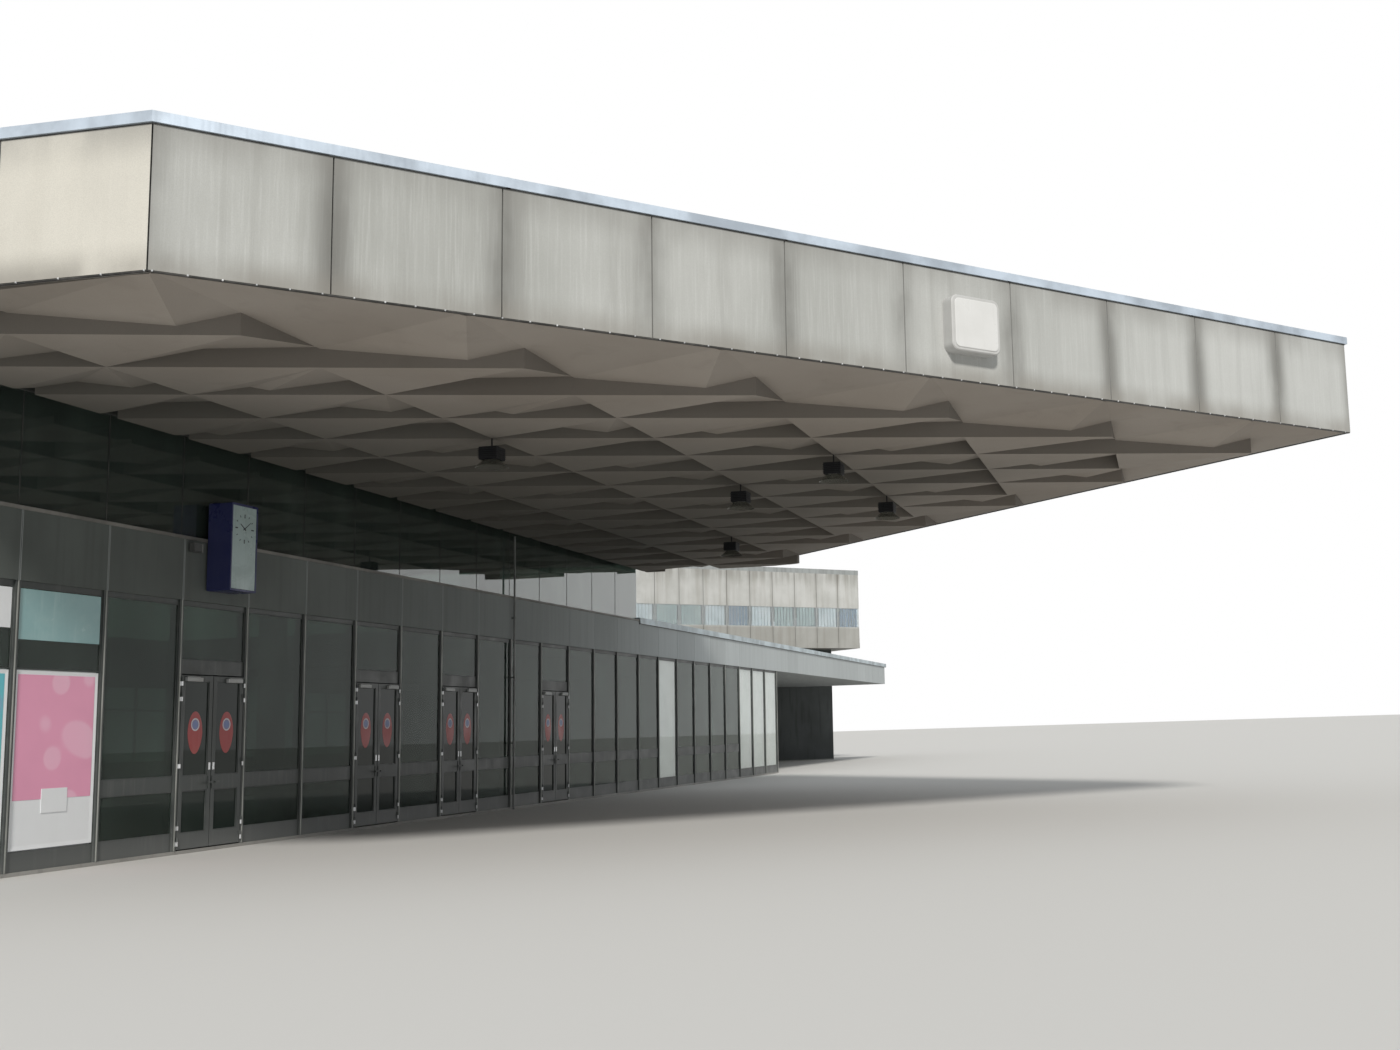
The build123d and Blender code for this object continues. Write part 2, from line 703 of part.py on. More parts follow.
def office_area(distance, low, high, hollow=0.0):
    """A slab over the office's plan, moved in by a distance, or its rim where it is hollow."""
    with BuildPart(office_plane.offset(low)) as piece:
        with BuildSketch(office_plane.offset(low)):
            with Locations((office_long / 2, -office_short / 2)):
                Rectangle(office_long - 2 * distance, office_short - 2 * distance)
                if hollow:
                    Rectangle(office_long - 2 * distance - 2 * hollow, office_short - 2 * distance - 2 * hollow,
                              mode=Mode.SUBTRACT)
        extrude(amount=high - low)
    return piece


def office_row(low, high, setback, thickness, post=0.0):
    """Like pieces round the office: one sheet a panel, or posts of a given width on the joints."""
    middle, half_short = (office_long / 2, -office_short / 2), office_short / 2
    pitch_short = (office_short - 2 * office_skin) / office_panels_short
    sides = [(office_panels_long, office_panel, half_short, 0),
             (office_panels_short, pitch_short, office_long / 2, 90)]
    with BuildPart() as pieces:
        for count, pitch, reach, angle in sides:
            number = count - 1 if post else count
            for turn in (angle, angle + 180):
                side_plane = Plane(office_plane.location * Location((*middle, low), (0, 0, turn)))
                with Locations(side_plane.location):
                    with Locations((0, -reach + setback + thickness / 2, 0)):
                        with GridLocations(pitch, 1, number, 1):
                            Box(post if post else pitch - office_joint, thickness, high - low,
                                align=(Align.CENTER, Align.CENTER, Align.MIN))
    return pieces


office_floor_top = office_base + office_floor_slab
office_ceiling = office_top - office_roof_slab
save(office_area(office_setback, 0, floor_thickness), "office_ground_slab")
save(office_area(office_setback, floor_thickness, office_base, wall_thickness), "office_walls")
save(office_area(0, office_base, office_floor_top), "office_floor")
save(office_row(office_floor_top, office_window_low, 0, office_skin), "office_lower_panels")
save(office_row(office_window_high, office_ceiling, 0, office_skin), "office_upper_panels")
save(office_row(office_window_low, office_window_high, office_glass_setback, glass_thickness), "office_windows")
post_setback = office_glass_setback + glass_thickness
office_posts = office_row(office_window_low, office_window_high, post_setback,
                          office_skin - post_setback, office_post)
save(office_posts, "office_posts")
save(office_area(0, office_ceiling, office_top), "office_roof")

# Roof of the low wing, cut off along the office's front wall
office_line = (hall_left + office_corner_x) + (hall_front + office_corner_y) + office_setback * sqrt(2)
with BuildPart() as low_roof:
    with BuildSketch(Plane.XY.offset(glazing_head)):
        Polygon((hall_right, beam_front), (canopy_end, beam_front), (canopy_end, office_line - canopy_end),
                (office_line - wall_inner, wall_inner), (hall_right, wall_inner), align=None)
    extrude(amount=beam_top - glazing_head)
save(low_roof, "low_roof")

# End wall of the glazed wing
save(block(wing_end - wall_thickness, wing_end, mullion_back, wall_inner, floor_thickness, glazing_head),
     "wing_end_wall")
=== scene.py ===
import json
from math import atan2, cos, pi, radians, sin, sqrt

import bmesh
import bpy
from mathutils import Matrix, Vector

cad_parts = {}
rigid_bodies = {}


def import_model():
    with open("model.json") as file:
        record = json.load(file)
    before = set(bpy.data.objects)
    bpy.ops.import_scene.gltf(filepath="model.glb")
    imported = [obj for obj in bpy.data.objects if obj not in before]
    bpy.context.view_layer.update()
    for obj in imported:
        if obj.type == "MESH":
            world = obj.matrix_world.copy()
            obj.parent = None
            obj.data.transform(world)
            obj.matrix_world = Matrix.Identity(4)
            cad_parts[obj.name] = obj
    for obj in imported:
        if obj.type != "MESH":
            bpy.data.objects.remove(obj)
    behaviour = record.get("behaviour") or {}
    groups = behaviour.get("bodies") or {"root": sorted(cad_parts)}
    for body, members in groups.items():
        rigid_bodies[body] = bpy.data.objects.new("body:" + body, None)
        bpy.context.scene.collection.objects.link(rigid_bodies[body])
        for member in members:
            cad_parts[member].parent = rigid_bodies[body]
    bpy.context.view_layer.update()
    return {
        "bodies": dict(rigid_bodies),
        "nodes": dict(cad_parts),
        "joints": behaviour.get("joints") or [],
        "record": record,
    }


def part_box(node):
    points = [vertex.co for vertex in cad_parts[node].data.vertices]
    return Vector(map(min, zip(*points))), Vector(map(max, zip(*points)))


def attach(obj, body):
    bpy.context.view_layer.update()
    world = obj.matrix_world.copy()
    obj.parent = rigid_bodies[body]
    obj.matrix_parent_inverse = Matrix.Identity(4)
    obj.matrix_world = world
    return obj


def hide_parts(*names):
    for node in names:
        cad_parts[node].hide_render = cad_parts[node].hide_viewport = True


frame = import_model()
nodes = frame["nodes"]
print("stage 1: frame loaded,", len(nodes), "nodes")

# Plan values read from the frame, in metres
hallLow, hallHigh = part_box("hall_beams")
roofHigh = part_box("roof_coping")[1]
bandLow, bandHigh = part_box("band_front")
postLow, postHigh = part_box("shop_frames")
hallBays = 15
bay = (hallHigh.x - hallLow.x) / hallBays
postWidth = 0.036
doorBays = [2, 5, 7, 10]
closedBays = [15, 20, 21, 22]
lastPost = 23


def postX(number):
    return hallLow.x + (number + 1) * bay


def bayMiddle(number):
    return postX(number) + bay / 2


# Modelling helpers: each one leaves object mode with the piece selected alone
def pick(*pieces):
    bpy.ops.object.select_all(action="DESELECT")
    for piece in pieces:
        piece.select_set(True)
    bpy.context.view_layer.objects.active = pieces[0]


def applyPlace(piece):
    pick(piece)
    bpy.ops.object.transform_apply(location=True, rotation=True, scale=True)


# Turns a piece about the origin and puts it in its place
def movePiece(piece, place, turn=(0, 0, 0)):
    piece.location, piece.rotation_euler = place, turn
    applyPlace(piece)
    return piece


# A block with its edges bevelled where a width is given
def startBlock(name, size, place=(0, 0, 0), soften=0.0, segments=1):
    bpy.ops.object.select_all(action="DESELECT")
    bpy.ops.mesh.primitive_cube_add(size=1, location=place, scale=size)
    piece = bpy.context.object
    piece.name = name
    applyPlace(piece)
    return softenEdges(piece, soften, segments) if soften else piece


# A block between its lowest and its highest corner
def spanBlock(name, low, high, soften=0.0, segments=1):
    size = [b - a for a, b in zip(low, high)]
    return startBlock(name, size, [(a + b) / 2 for a, b in zip(low, high)], soften, segments)


def startDisc(name, radius, depth, place=(0, 0, 0), turn=(0, 0, 0), sides=24):
    bpy.ops.object.select_all(action="DESELECT")
    bpy.ops.mesh.primitive_cylinder_add(vertices=sides, radius=radius, depth=depth,
                                        location=place, rotation=turn)
    piece = bpy.context.object
    piece.name = name
    applyPlace(piece)
    return piece


# Goes into edit mode with the faces, or edges, that pass a test selected
def editFaces(piece, test):
    pick(piece)
    bpy.ops.object.mode_set(mode="EDIT")
    bpy.ops.mesh.select_mode(type="FACE")
    mesh = bmesh.from_edit_mesh(piece.data)
    for face in mesh.faces:
        face.select_set(bool(test(face)))
    mesh.select_flush_mode()
    bmesh.update_edit_mesh(piece.data)


def editEdges(piece, test):
    pick(piece)
    bpy.ops.object.mode_set(mode="EDIT")
    bpy.ops.mesh.select_mode(type="EDGE")
    mesh = bmesh.from_edit_mesh(piece.data)
    for face in mesh.faces:
        face.select_set(False)
    for edge in mesh.edges:
        edge.select_set(bool(test(edge)))
    bmesh.update_edit_mesh(piece.data)


def leaveEdit():
    bpy.ops.object.mode_set(mode="OBJECT")


def softenEdges(piece, width, segments=1):
    pick(piece)
    bpy.ops.object.mode_set(mode="EDIT")
    bpy.ops.mesh.select_all(action="SELECT")
    bpy.ops.mesh.bevel(offset=width, segments=segments, affect="EDGES")
    leaveEdit()
    return piece


def isFront(face):
    return face.normal.y < -0.9


# Insets the faces that pass a test and pushes the inner faces
def insetFaces(piece, test, thickness, depth=0.0, push=(0, 0, 0)):
    editFaces(piece, test)
    bpy.ops.mesh.inset(thickness=thickness, depth=depth)
    bpy.ops.transform.translate(value=push)
    leaveEdit()
    return piece


def bevelEdges(piece, test, width, segments=1):
    editEdges(piece, test)
    bpy.ops.mesh.bevel(offset=width, segments=segments)
    leaveEdit()
    return piece


# Moves or scales the faces that pass a test
def shiftFaces(piece, test, push=(0, 0, 0), scale=(1, 1, 1)):
    editFaces(piece, test)
    bpy.ops.transform.resize(value=scale)
    bpy.ops.transform.translate(value=push)
    leaveEdit()


# Opens a piece right through along an axis, leaving a border
def openThrough(piece, border, axis=1):
    editFaces(piece, lambda face: abs(face.normal[axis]) > 0.9)
    bpy.ops.mesh.inset(thickness=border, use_individual=True)
    bpy.ops.mesh.bridge_edge_loops()
    bpy.ops.mesh.select_all(action="SELECT")
    bpy.ops.mesh.normals_make_consistent(inside=False)
    leaveEdit()
    return piece


def turnOf(direction):
    return atan2(direction.y, direction.x)


# Puts copies of a piece at (place, turn about the upright) and joins them into one
def layCopies(piece, spots, name):
    copies = []
    for place, turn in spots:
        copied = piece.copy()
        copied.data = piece.data.copy()
        bpy.context.collection.objects.link(copied)
        copied.location = place
        copied.rotation_euler = (0, 0, turn)
        copies.append(copied)
    bpy.data.objects.remove(piece)
    pick(*copies)
    bpy.ops.object.transform_apply(location=True, rotation=True, scale=True)
    if len(copies) > 1:
        bpy.ops.object.join()
    joined = bpy.context.object
    joined.name = name
    return joined


def joinPieces(pieces, name):
    pick(*pieces)
    if len(pieces) > 1:
        bpy.ops.object.join()
    bpy.context.object.name = name
    return bpy.context.object


# An upright rim in the XZ plane: a block whose front and back are inset and bridged
def startRim(name, width, height, border, depth, soften=0.0015):
    rim = openThrough(startBlock(name, (width, depth, height)), border)
    pick(rim)
    bevel = rim.modifiers.new("soften", "BEVEL")
    bevel.width = soften
    bevel.segments = 1
    bevel.limit_method = "ANGLE"
    bpy.ops.object.modifier_apply(modifier="soften")
    return rim


def finishPiece(piece, material, body="building"):
    piece.data.materials.clear()
    piece.data.materials.append(material)
    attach(piece, body)
    return piece


# Adds a shader node; its inputs take numbers, tuples or the outputs of other nodes
def addNode(tree, kind, inputs={}, **settings):
    node = tree.nodes.new("ShaderNode" + kind)
    for name, value in settings.items():
        setattr(node, name, value)
    for socket, value in inputs.items():
        if isinstance(value, bpy.types.NodeSocket):
            tree.links.new(value, node.inputs[socket])
        elif value is not None:
            node.inputs[socket].default_value = value
    return node


def setSockets(tree, values):
    for name, value in values.items():
        tree.nodes["Principled BSDF"].inputs[name].default_value = value


# A material in the making, its nodes on Object coordinates
class Look:
    def __init__(self, name, colour, roughness, metallic=0.0, specular=0.5):
        self.material = bpy.data.materials.new(name)
        self.material.use_nodes = True
        self.tree = self.material.node_tree
        self.coords = self.node("TexCoord").outputs["Object"]
        setSockets(self.tree, {"Base Color": (*colour, 1), "Roughness": roughness, "Metallic": metallic,
                               "Specular IOR Level": specular})

    def node(self, kind, inputs={}, **settings):
        return addNode(self.tree, kind, inputs, **settings)

    def noise(self, scale, detail=4.0, stretch=(1, 1, 1), distortion=0.0):
        spread = self.node("Mapping", {"Vector": self.coords, "Scale": stretch}).outputs[0]
        return self.node("TexNoise", {"Vector": spread, "Scale": scale, "Detail": detail,
                                      "Distortion": distortion}).outputs["Fac"]

    def math(self, operation, first, second=None):
        return self.node("Math", {0: first, 1: second}, operation=operation).outputs[0]

    def times(self, first, second):
        return self.math("MULTIPLY", first, second)

    def minus(self, first, second):
        return self.math("SUBTRACT", first, second)

    # Goes smoothly from a new low to a new high while a value goes from low to high
    def ramp(self, value, low, high, newLow=0.0, newHigh=1.0):
        inputs = {"Value": value, "From Min": low, "From Max": high, "To Min": newLow, "To Max": newHigh}
        return self.node("MapRange", inputs, interpolation_type="SMOOTHSTEP").outputs["Result"]

    def mix(self, share, first, second):
        first, second = ((*c, 1) if isinstance(c, tuple) else c for c in (first, second))
        return self.node("Mix", {0: share, 6: first, 7: second}, data_type="RGBA").outputs[2]

    # Moves a colour towards a tone by a share that follows a value
    def tint(self, colour, tone, value, low, high, share=1.0):
        return self.mix(self.ramp(value, low, high, 0, share), colour, tone)

    # How far a place, or another vector, reaches in a direction
    def along(self, direction, source=None):
        source = self.coords if source is None else source
        return self.node("VectorMath", {0: source, 1: direction}, operation="DOT_PRODUCT").outputs["Value"]

    def facing(self, direction, kind="Normal"):
        return self.along(direction, self.node("NewGeometry").outputs[kind])

    # Distance from the middle of the bay that a place lies in, from 0 to 0.5 of a bay
    def offMiddle(self, phase):
        return self.math("ABSOLUTE", self.minus(self.math("FRACT", phase), 0.5))

    def link(self, value, socket):
        self.tree.links.new(value, self.tree.nodes["Principled BSDF"].inputs[socket])

    def bump(self, height, distance, strength):
        bump = self.node("Bump", {"Height": height, "Distance": distance, "Strength": strength})
        self.link(bump.outputs["Normal"], "Normal")

    # Ends the material with its colour and its relief
    def end(self, colour, height, distance, strength):
        self.link(colour, "Base Color")
        self.bump(height, distance, strength)
        return self.material


print("stage 2: materials")
slant = 1 / sqrt(2)
office = {"corner": Vector((19.945, -2.410)), "pitch": 0.535, "long": 14, "short": 7, "skin": 0.050,
          "low": 2.800, "high": 3.215, "frame": 0.009, "frameGap": 0.012, "depth": 0.0034, "slats": 6,
          "slat": (0.066, 0.0016), "slatTurn": 6, "blindWidth": 0.44, "behind": 0.016, "foot": (2.82, 2.76),
          "underRoof": (3.60, 3.94), "joint": (0.484, 0.492), "jointStain": (0.36, 0.5)}
edgePanels = {"width": 0.7835, "corner": 0.740, "bottom": 2.633, "top": 3.280, "stainReach": 0.22,
              "cornerStain": 0.20, "underStain": 0.20, "footStain": 0.15, "paler": (-1.5, 8.0)}
bandTone = {"sunlit": (-4.0, 8.0), "byPanel": 0.16, "joint": (0.484, 0.492)}
ceilingShade = {"deepShade": (0.4, 2.8), "glassShade": (-5.4, -3.3)}
roofCorner = Vector((-5.805, -4.909))
prowCorner = Vector((-0.327, -10.387))


# Share of dirt beside the joints of a row of panels that runs along a direction
def jointDirt(look, direction, start, facing):
    phase = look.math("DIVIDE", look.minus(look.along((*direction, 0)), start), edgePanels["width"])
    near = look.ramp(look.offMiddle(phase), 0.5 - edgePanels["stainReach"], 0.5)
    return look.times(near, look.math("GREATER_THAN", look.facing((*facing, 0)), 0.9))


# Pale exposed concrete of the roof's edge: clouds, fine streaks and panels that darken towards their rims;
# faces towards the west are painted paler and warmer, as painted sunlight
def makeEdgeConcrete():
    look = Look("edgeConcrete", (0.5, 0.5, 0.46), 0.85, specular=0.3)
    clouds = look.noise(0.9, 5, (1, 1, 0.8))
    streaks = look.noise(11, 6, (1, 1, 0.05), distortion=0.2)
    fineStreaks = look.noise(85, 4, (1, 1, 0.035))
    patches = look.noise(3.2, 5, (1, 1, 0.5))
    grain = look.noise(260, 3)
    height = look.along((0, 0, 1))
    sunlitWest = look.ramp(look.facing((-1, 0, 0)), 0.8, 0.95)
    colour = look.tint((0.36, 0.365, 0.345), (0.47, 0.475, 0.455), clouds, 0.3, 0.7)
    colour = look.tint(colour, (0.27, 0.268, 0.25), streaks, 0.45, 0.75, 0.45)
    colour = look.tint(colour, (0.58, 0.59, 0.575), fineStreaks, 0.45, 0.75, 0.30)
    leftward = look.along((slant, -slant, 0))
    colour = look.tint(colour, (0.60, 0.615, 0.61), leftward, *edgePanels["paler"], 0.38)
    # Painted sunlight: faces towards the west are made paler and warmer
    colour = look.mix(look.times(sunlitWest, 0.82), colour, (0.72, 0.69, 0.615))
    leftEnd = (roofCorner.x - roofCorner.y) * slant
    prowEnd = (prowCorner.x + prowCorner.y) * slant
    dirtLeft = jointDirt(look, (slant, -slant), leftEnd + edgePanels["corner"], (-slant, -slant))
    dirtRight = jointDirt(look, (slant, slant), prowEnd + edgePanels["corner"], (slant, -slant))
    corner = look.times(look.ramp(leftward, leftEnd + edgePanels["cornerStain"], leftEnd, 0, 0.75),
                        look.minus(1, look.times(sunlitWest, 0.6)))
    dirt = look.math("MAXIMUM", look.math("MAXIMUM", dirtLeft, dirtRight), corner)
    patchy = look.ramp(patches, 0.3, 0.65, 0.35, 1.0)
    dirt = look.times(look.math("POWER", dirt, 1.6), patchy)
    colour = look.mix(look.times(dirt, 0.80), colour, (0.135, 0.133, 0.122))
    under = look.ramp(height, edgePanels["top"] - edgePanels["underStain"], edgePanels["top"], 0, 0.55)
    colour = look.mix(look.times(under, patchy), colour, (0.25, 0.245, 0.23))
    foot = look.ramp(height, edgePanels["bottom"] + edgePanels["footStain"], edgePanels["bottom"], 0, 0.72)
    colour = look.mix(look.times(foot, patchy), colour, (0.24, 0.225, 0.20))
    colour = look.tint(colour, (0.25, 0.245, 0.23), grain, 0.4, 0.62, 0.16)
    look.link(look.ramp(streaks, 0.3, 0.8, 0.75, 0.95), "Roughness")
    return look.end(colour, look.math("ADD", look.times(grain, 0.3), streaks), 0.003, 0.5)


# Darker washed concrete of the band over the shop windows, painted paler towards its right end as painted
# sunlight outside the roof's shade
def makeBandConcrete():
    look = Look("bandConcrete", (0.09, 0.1, 0.093), 0.8, specular=0.3)
    clouds = look.noise(2.0, 5, (1, 1, 0.6))
    streaks = look.noise(22, 5, (1, 1, 0.05))
    grain = look.noise(300, 3)
    colour = look.tint((0.090, 0.102, 0.096), (0.122, 0.138, 0.130), clouds, 0.3, 0.7)
    colour = look.tint(colour, (0.062, 0.067, 0.062), streaks, 0.45, 0.75, 0.25)
    colour = look.tint(colour, (0.17, 0.18, 0.17), grain, 0.4, 0.65, 0.22)
    along = look.along((1, 0, 0))
    # Painted sunlight: the band turns paler towards its right end, past the roof's shade
    sunlit = look.ramp(along, *bandTone["sunlit"], 0, 0.95)
    sunlitColour = look.tint((0.55, 0.585, 0.59), (0.44, 0.47, 0.475), streaks, 0.4, 0.75, 0.4)
    colour = look.mix(sunlit, colour, sunlitColour)
    count = look.math("DIVIDE", look.minus(along, hallLow.x), bay)
    chance = look.node("TexWhiteNoise", {"W": look.math("FLOOR", count)}, noise_dimensions="1D")
    colour = look.mix(look.times(chance.outputs["Value"], bandTone["byPanel"]), colour, (0.10, 0.108, 0.104))
    joint = look.times(look.ramp(look.offMiddle(count), *bandTone["joint"]), 0.35)
    colour = look.mix(joint, colour, (0.52, 0.55, 0.56))
    return look.end(colour, look.math("ADD", grain, streaks), 0.003, 0.4)


# Brown-grey concrete of the folded ceiling with painted shade: darker on its upright steps, on facets turned
# to the right, deeper in from the roof's edges and near the glass
def makeFoldConcrete():
    look = Look("foldConcrete", (0.36, 0.32, 0.285), 0.9, specular=0.2)
    clouds = look.noise(0.8, 4)
    stains = look.noise(5.5, 6, distortion=0.4)
    grain = look.noise(240, 3)
    colour = look.tint((0.345, 0.305, 0.265), (0.41, 0.37, 0.33), clouds, 0.3, 0.7)
    colour = look.tint(colour, (0.26, 0.235, 0.205), stains, 0.56, 0.72, 0.22)
    colour = look.tint(colour, (0.24, 0.215, 0.19), grain, 0.4, 0.65, 0.18)
    # Painted shade on the upright steps, and on facets turned to the right, away from the light
    upright = look.math("ABSOLUTE", look.facing((0, 0, 1), "True Normal"))
    tilt = look.facing((0.8, -0.6, 0), "True Normal")
    colour = look.tint(colour, (0.20, 0.18, 0.16), tilt, -0.10, 0.10, 0.30)
    colour = look.tint(colour, (0.105, 0.098, 0.088), upright, 0.35, 0.15, 0.62)
    # Painted shade: darker deeper in from the roof's edges and towards the glass
    fromLeft = look.minus(look.along((slant, slant, 0)), (roofCorner.x + roofCorner.y) * slant)
    fromRight = look.minus(look.along((-slant, slant, 0)), (prowCorner.y - prowCorner.x) * slant)
    deepShade = look.ramp(look.math("MINIMUM", fromLeft, fromRight), *ceilingShade["deepShade"], 0, 0.60)
    glassShade = look.ramp(look.along((0, 1, 0)), *ceilingShade["glassShade"], 0, 0.18)
    colour = look.mix(look.math("ADD", deepShade, glassShade), colour, (0.092, 0.093, 0.083))
    return look.end(colour, grain, 0.002, 0.4)


# Grey concrete of slabs, beams and walls
def makeSlabConcrete(name, pale, dark, roughness=0.88):
    look = Look(name, pale, roughness, specular=0.3)
    clouds = look.noise(1.3, 6)
    streaks = look.noise(12, 5, (1, 1, 0.12))
    grain = look.noise(220, 3)
    middle = tuple((a + b) / 2 for a, b in zip(pale, dark))
    colour = look.tint(middle, pale, clouds, 0.3, 0.7)
    colour = look.tint(colour, dark, streaks, 0.5, 0.75, 0.5)
    colour = look.tint(colour, dark, grain, 0.4, 0.65, 0.2)
    return look.end(colour, grain, 0.003, 0.4)


# Roof covering: grey felt in sheets with fine gravel, and bare concrete on the sides and underneath
def makeRoofFelt():
    look = Look("roofFelt", (0.2, 0.2, 0.19), 0.95, specular=0.2)
    sheets = look.node("TexBrick", {
        "Vector": look.coords, "Scale": 1.0, "Brick Width": 3.0, "Row Height": 0.5, "Mortar Size": 0.006,
        "Color1": (0.21, 0.21, 0.2, 1), "Color2": (0.245, 0.24, 0.228, 1), "Mortar": (0.08, 0.08, 0.078, 1)})
    gravel = look.node("TexVoronoi", {"Vector": look.coords, "Scale": 70}).outputs["Distance"]
    clouds = look.noise(1.2, 5)
    colour = look.tint(sheets.outputs["Color"], (0.31, 0.30, 0.275), clouds, 0.4, 0.65, 0.6)
    colour = look.tint(colour, (0.12, 0.12, 0.115), gravel, 0.1, 0.6, 0.4)
    streaks = look.noise(14, 5, (1, 1, 0.1))
    bare = look.tint((0.34, 0.36, 0.36), (0.22, 0.225, 0.22), streaks, 0.4, 0.75, 0.6)
    colour = look.tint(bare, colour, look.facing((0, 0, 1)), 0.4, 0.6)
    return look.end(colour, gravel, 0.004, 0.6)


# Office panels: exposed aggregate, streaked brown under the roof and at the joints
def makeOfficeConcrete():
    look = Look("officeConcrete", (0.44, 0.44, 0.40), 0.9, specular=0.25)
    clouds = look.noise(2.4, 5)
    streaks = look.noise(9, 6, (1, 1, 0.07), distortion=0.2)
    grain = look.noise(320, 3)
    height = look.along((0, 0, 1))
    colour = look.tint((0.50, 0.505, 0.485), (0.60, 0.605, 0.59), clouds, 0.3, 0.7)
    colour = look.tint(colour, (0.33, 0.315, 0.28), streaks, 0.45, 0.75, 0.5)
    colour = look.tint(colour, (0.25, 0.245, 0.22), height, *office["foot"], 0.5)
    under = look.times(look.ramp(height, *office["underRoof"], 0, 0.42), look.ramp(streaks, 0.3, 0.6))
    colour = look.mix(under, colour, (0.17, 0.16, 0.14))
    colour = look.tint(colour, (0.2, 0.19, 0.17), grain, 0.42, 0.62, 0.25)
    for side in (1, -1):
        along = look.minus(look.along((-slant, slant * side, 0)),
                           (office["corner"].y * side - office["corner"].x) * slant)
        offset = look.offMiddle(look.math("DIVIDE", along, office["pitch"]))
        near = look.math("MAXIMUM", look.ramp(offset, *office["joint"], 0, 0.6),
                         look.ramp(offset, *office["jointStain"], 0, 0.16))
        facing = look.math("ABSOLUTE", look.facing((slant, slant * side, 0)))
        near = look.times(near, look.math("GREATER_THAN", facing, 0.9))
        colour = look.mix(near, colour, (0.13, 0.125, 0.11))
    return look.end(colour, grain, 0.003, 0.5)


def makeMetal(name, colour, roughness, metallic=0.85, wear=0.12):
    look = Look(name, colour, roughness, metallic)
    cloudy = look.noise(3.5, 5)
    brushed = look.noise(60, 3, (1, 1, 0.1))
    darker = tuple(c * (1 - 2.2 * wear) for c in colour)
    paler = tuple(min(1, c * (1 + wear)) for c in colour)
    base = look.tint(paler, darker, cloudy, 0.35, 0.65)
    look.link(look.ramp(brushed, 0.3, 0.7, roughness - 0.08, roughness + 0.12), "Roughness")
    return look.end(base, brushed, 0.0006, 0.3)


# Painted or coated surface with slight mottling and dust, and splashed dirt up to a height
def makePaint(name, colour, roughness=0.5, dust=(0.35, 0.34, 0.32), dustShare=0.18, specular=0.5, splash=0.0):
    look = Look(name, colour, roughness, specular=specular)
    cloudy = look.noise(6, 5)
    streaks = look.noise(30, 4, (1, 1, 0.08))
    base = look.tint(colour, dust, cloudy, 0.4, 0.7, dustShare)
    base = look.tint(base, dust, streaks, 0.5, 0.75, dustShare)
    if splash:
        base = look.tint(base, dust, look.along((0, 0, 1)), splash, 0.0, 0.65)
    look.link(look.ramp(cloudy, 0.3, 0.7, roughness - 0.06, roughness + 0.14), "Roughness")
    return look.end(base, look.noise(420, 2), 0.0004, 0.25)


# Tinted glass, see-through in part; gently wavy and smeared only where that is asked for
def makeGlass(name, tint, clear, roughness=0.03, specular=0.35, wave=0.0012, smear=0.07, index=1.45):
    look = Look(name, tint, roughness, specular=specular)
    setSockets(look.tree, {"Transmission Weight": clear, "IOR": index})
    smears = look.noise(3.0, 5, (1, 1, 0.4))
    if smear:
        look.link(look.ramp(smears, 0.45, 0.75, roughness, roughness + smear), "Roughness")
    smudged = tuple(min(1, c * 1.6 + 0.006) for c in tint)
    look.link(look.tint(tint, smudged, smears, 0.4, 0.8, 0.5), "Base Color")
    if wave:
        look.bump(look.noise(1.1, 1), wave, 0.6)
    return look.material


edgeConcrete = makeEdgeConcrete()
bandConcrete = makeBandConcrete()
foldConcrete = makeFoldConcrete()
slabConcrete = makeSlabConcrete("slabConcrete", (0.40, 0.39, 0.37), (0.20, 0.195, 0.18))
wallConcrete = makeSlabConcrete("wallConcrete", (0.46, 0.455, 0.42), (0.22, 0.21, 0.19))
footConcrete = makeSlabConcrete("footConcrete", (0.10, 0.108, 0.108), (0.045, 0.048, 0.047))
roofFelt = makeRoofFelt()
officeConcrete = makeOfficeConcrete()
# Pale blue coping metal: the blue is partly its own tint and partly a painted reflection of the sky
copingMetal = makeMetal("copingMetal", (0.50, 0.57, 0.65), 0.42, 0.5)
bandCapMetal = makeMetal("bandCapMetal", (0.21, 0.205, 0.19), 0.6, 0.2)
frameBronze = makePaint("frameBronze", (0.045, 0.052, 0.050), 0.42, (0.130, 0.136, 0.132), 0.3,
                        splash=0.22)
capMetal = makeMetal("capMetal", (0.30, 0.31, 0.29), 0.42, 0.4)
hingeMetal = makeMetal("hingeMetal", (0.68, 0.69, 0.70), 0.32, 0.7)
closerPaint = makePaint("closerPaint", (0.42, 0.43, 0.43), 0.42)
flat = {"roughness": 0.0, "specular": 0.5, "wave": 0, "smear": 0}
shopGlass = makeGlass("shopGlass", (0.14, 0.19, 0.16), 0.90, index=1.15, **flat)
outerGlass = makeGlass("outerGlass", (0.28, 0.35, 0.31), 0.94, index=1.22, **flat)
clearGlass = makeGlass("clearGlass", (0.88, 0.92, 0.90), 0.97, index=1.28, **flat)
upperGlass = makeGlass("upperGlass", (0.22, 0.28, 0.255), 0.88, 0.0, specular=1.0, wave=0.0004, smear=0.004)
setSockets(upperGlass.node_tree, {"Coat Weight": 0.7, "Coat IOR": 1.7, "Coat Roughness": 0.01})
sideGlass = makeGlass("sideGlass", (0.14, 0.18, 0.175), 0.85, 0.0, smear=0)
officeGlass = makeGlass("officeGlass", (0.84, 0.91, 0.94), 0.85, specular=0.6)
smokeGlass = makeGlass("smokeGlass", (0.34, 0.34, 0.31), 0.85, specular=0.2, index=1.12)
posterWhite = makePaint("posterWhite", (0.84, 0.86, 0.88), 0.35, (0.74, 0.75, 0.76), 0.1)
sheetWhite = makePaint("sheetWhite", (0.80, 0.82, 0.81), 0.4, (0.60, 0.61, 0.60), 0.25)
clockBlue = makePaint("clockBlue", (0.018, 0.022, 0.10), 0.3, (0.06, 0.07, 0.12), 0.2)
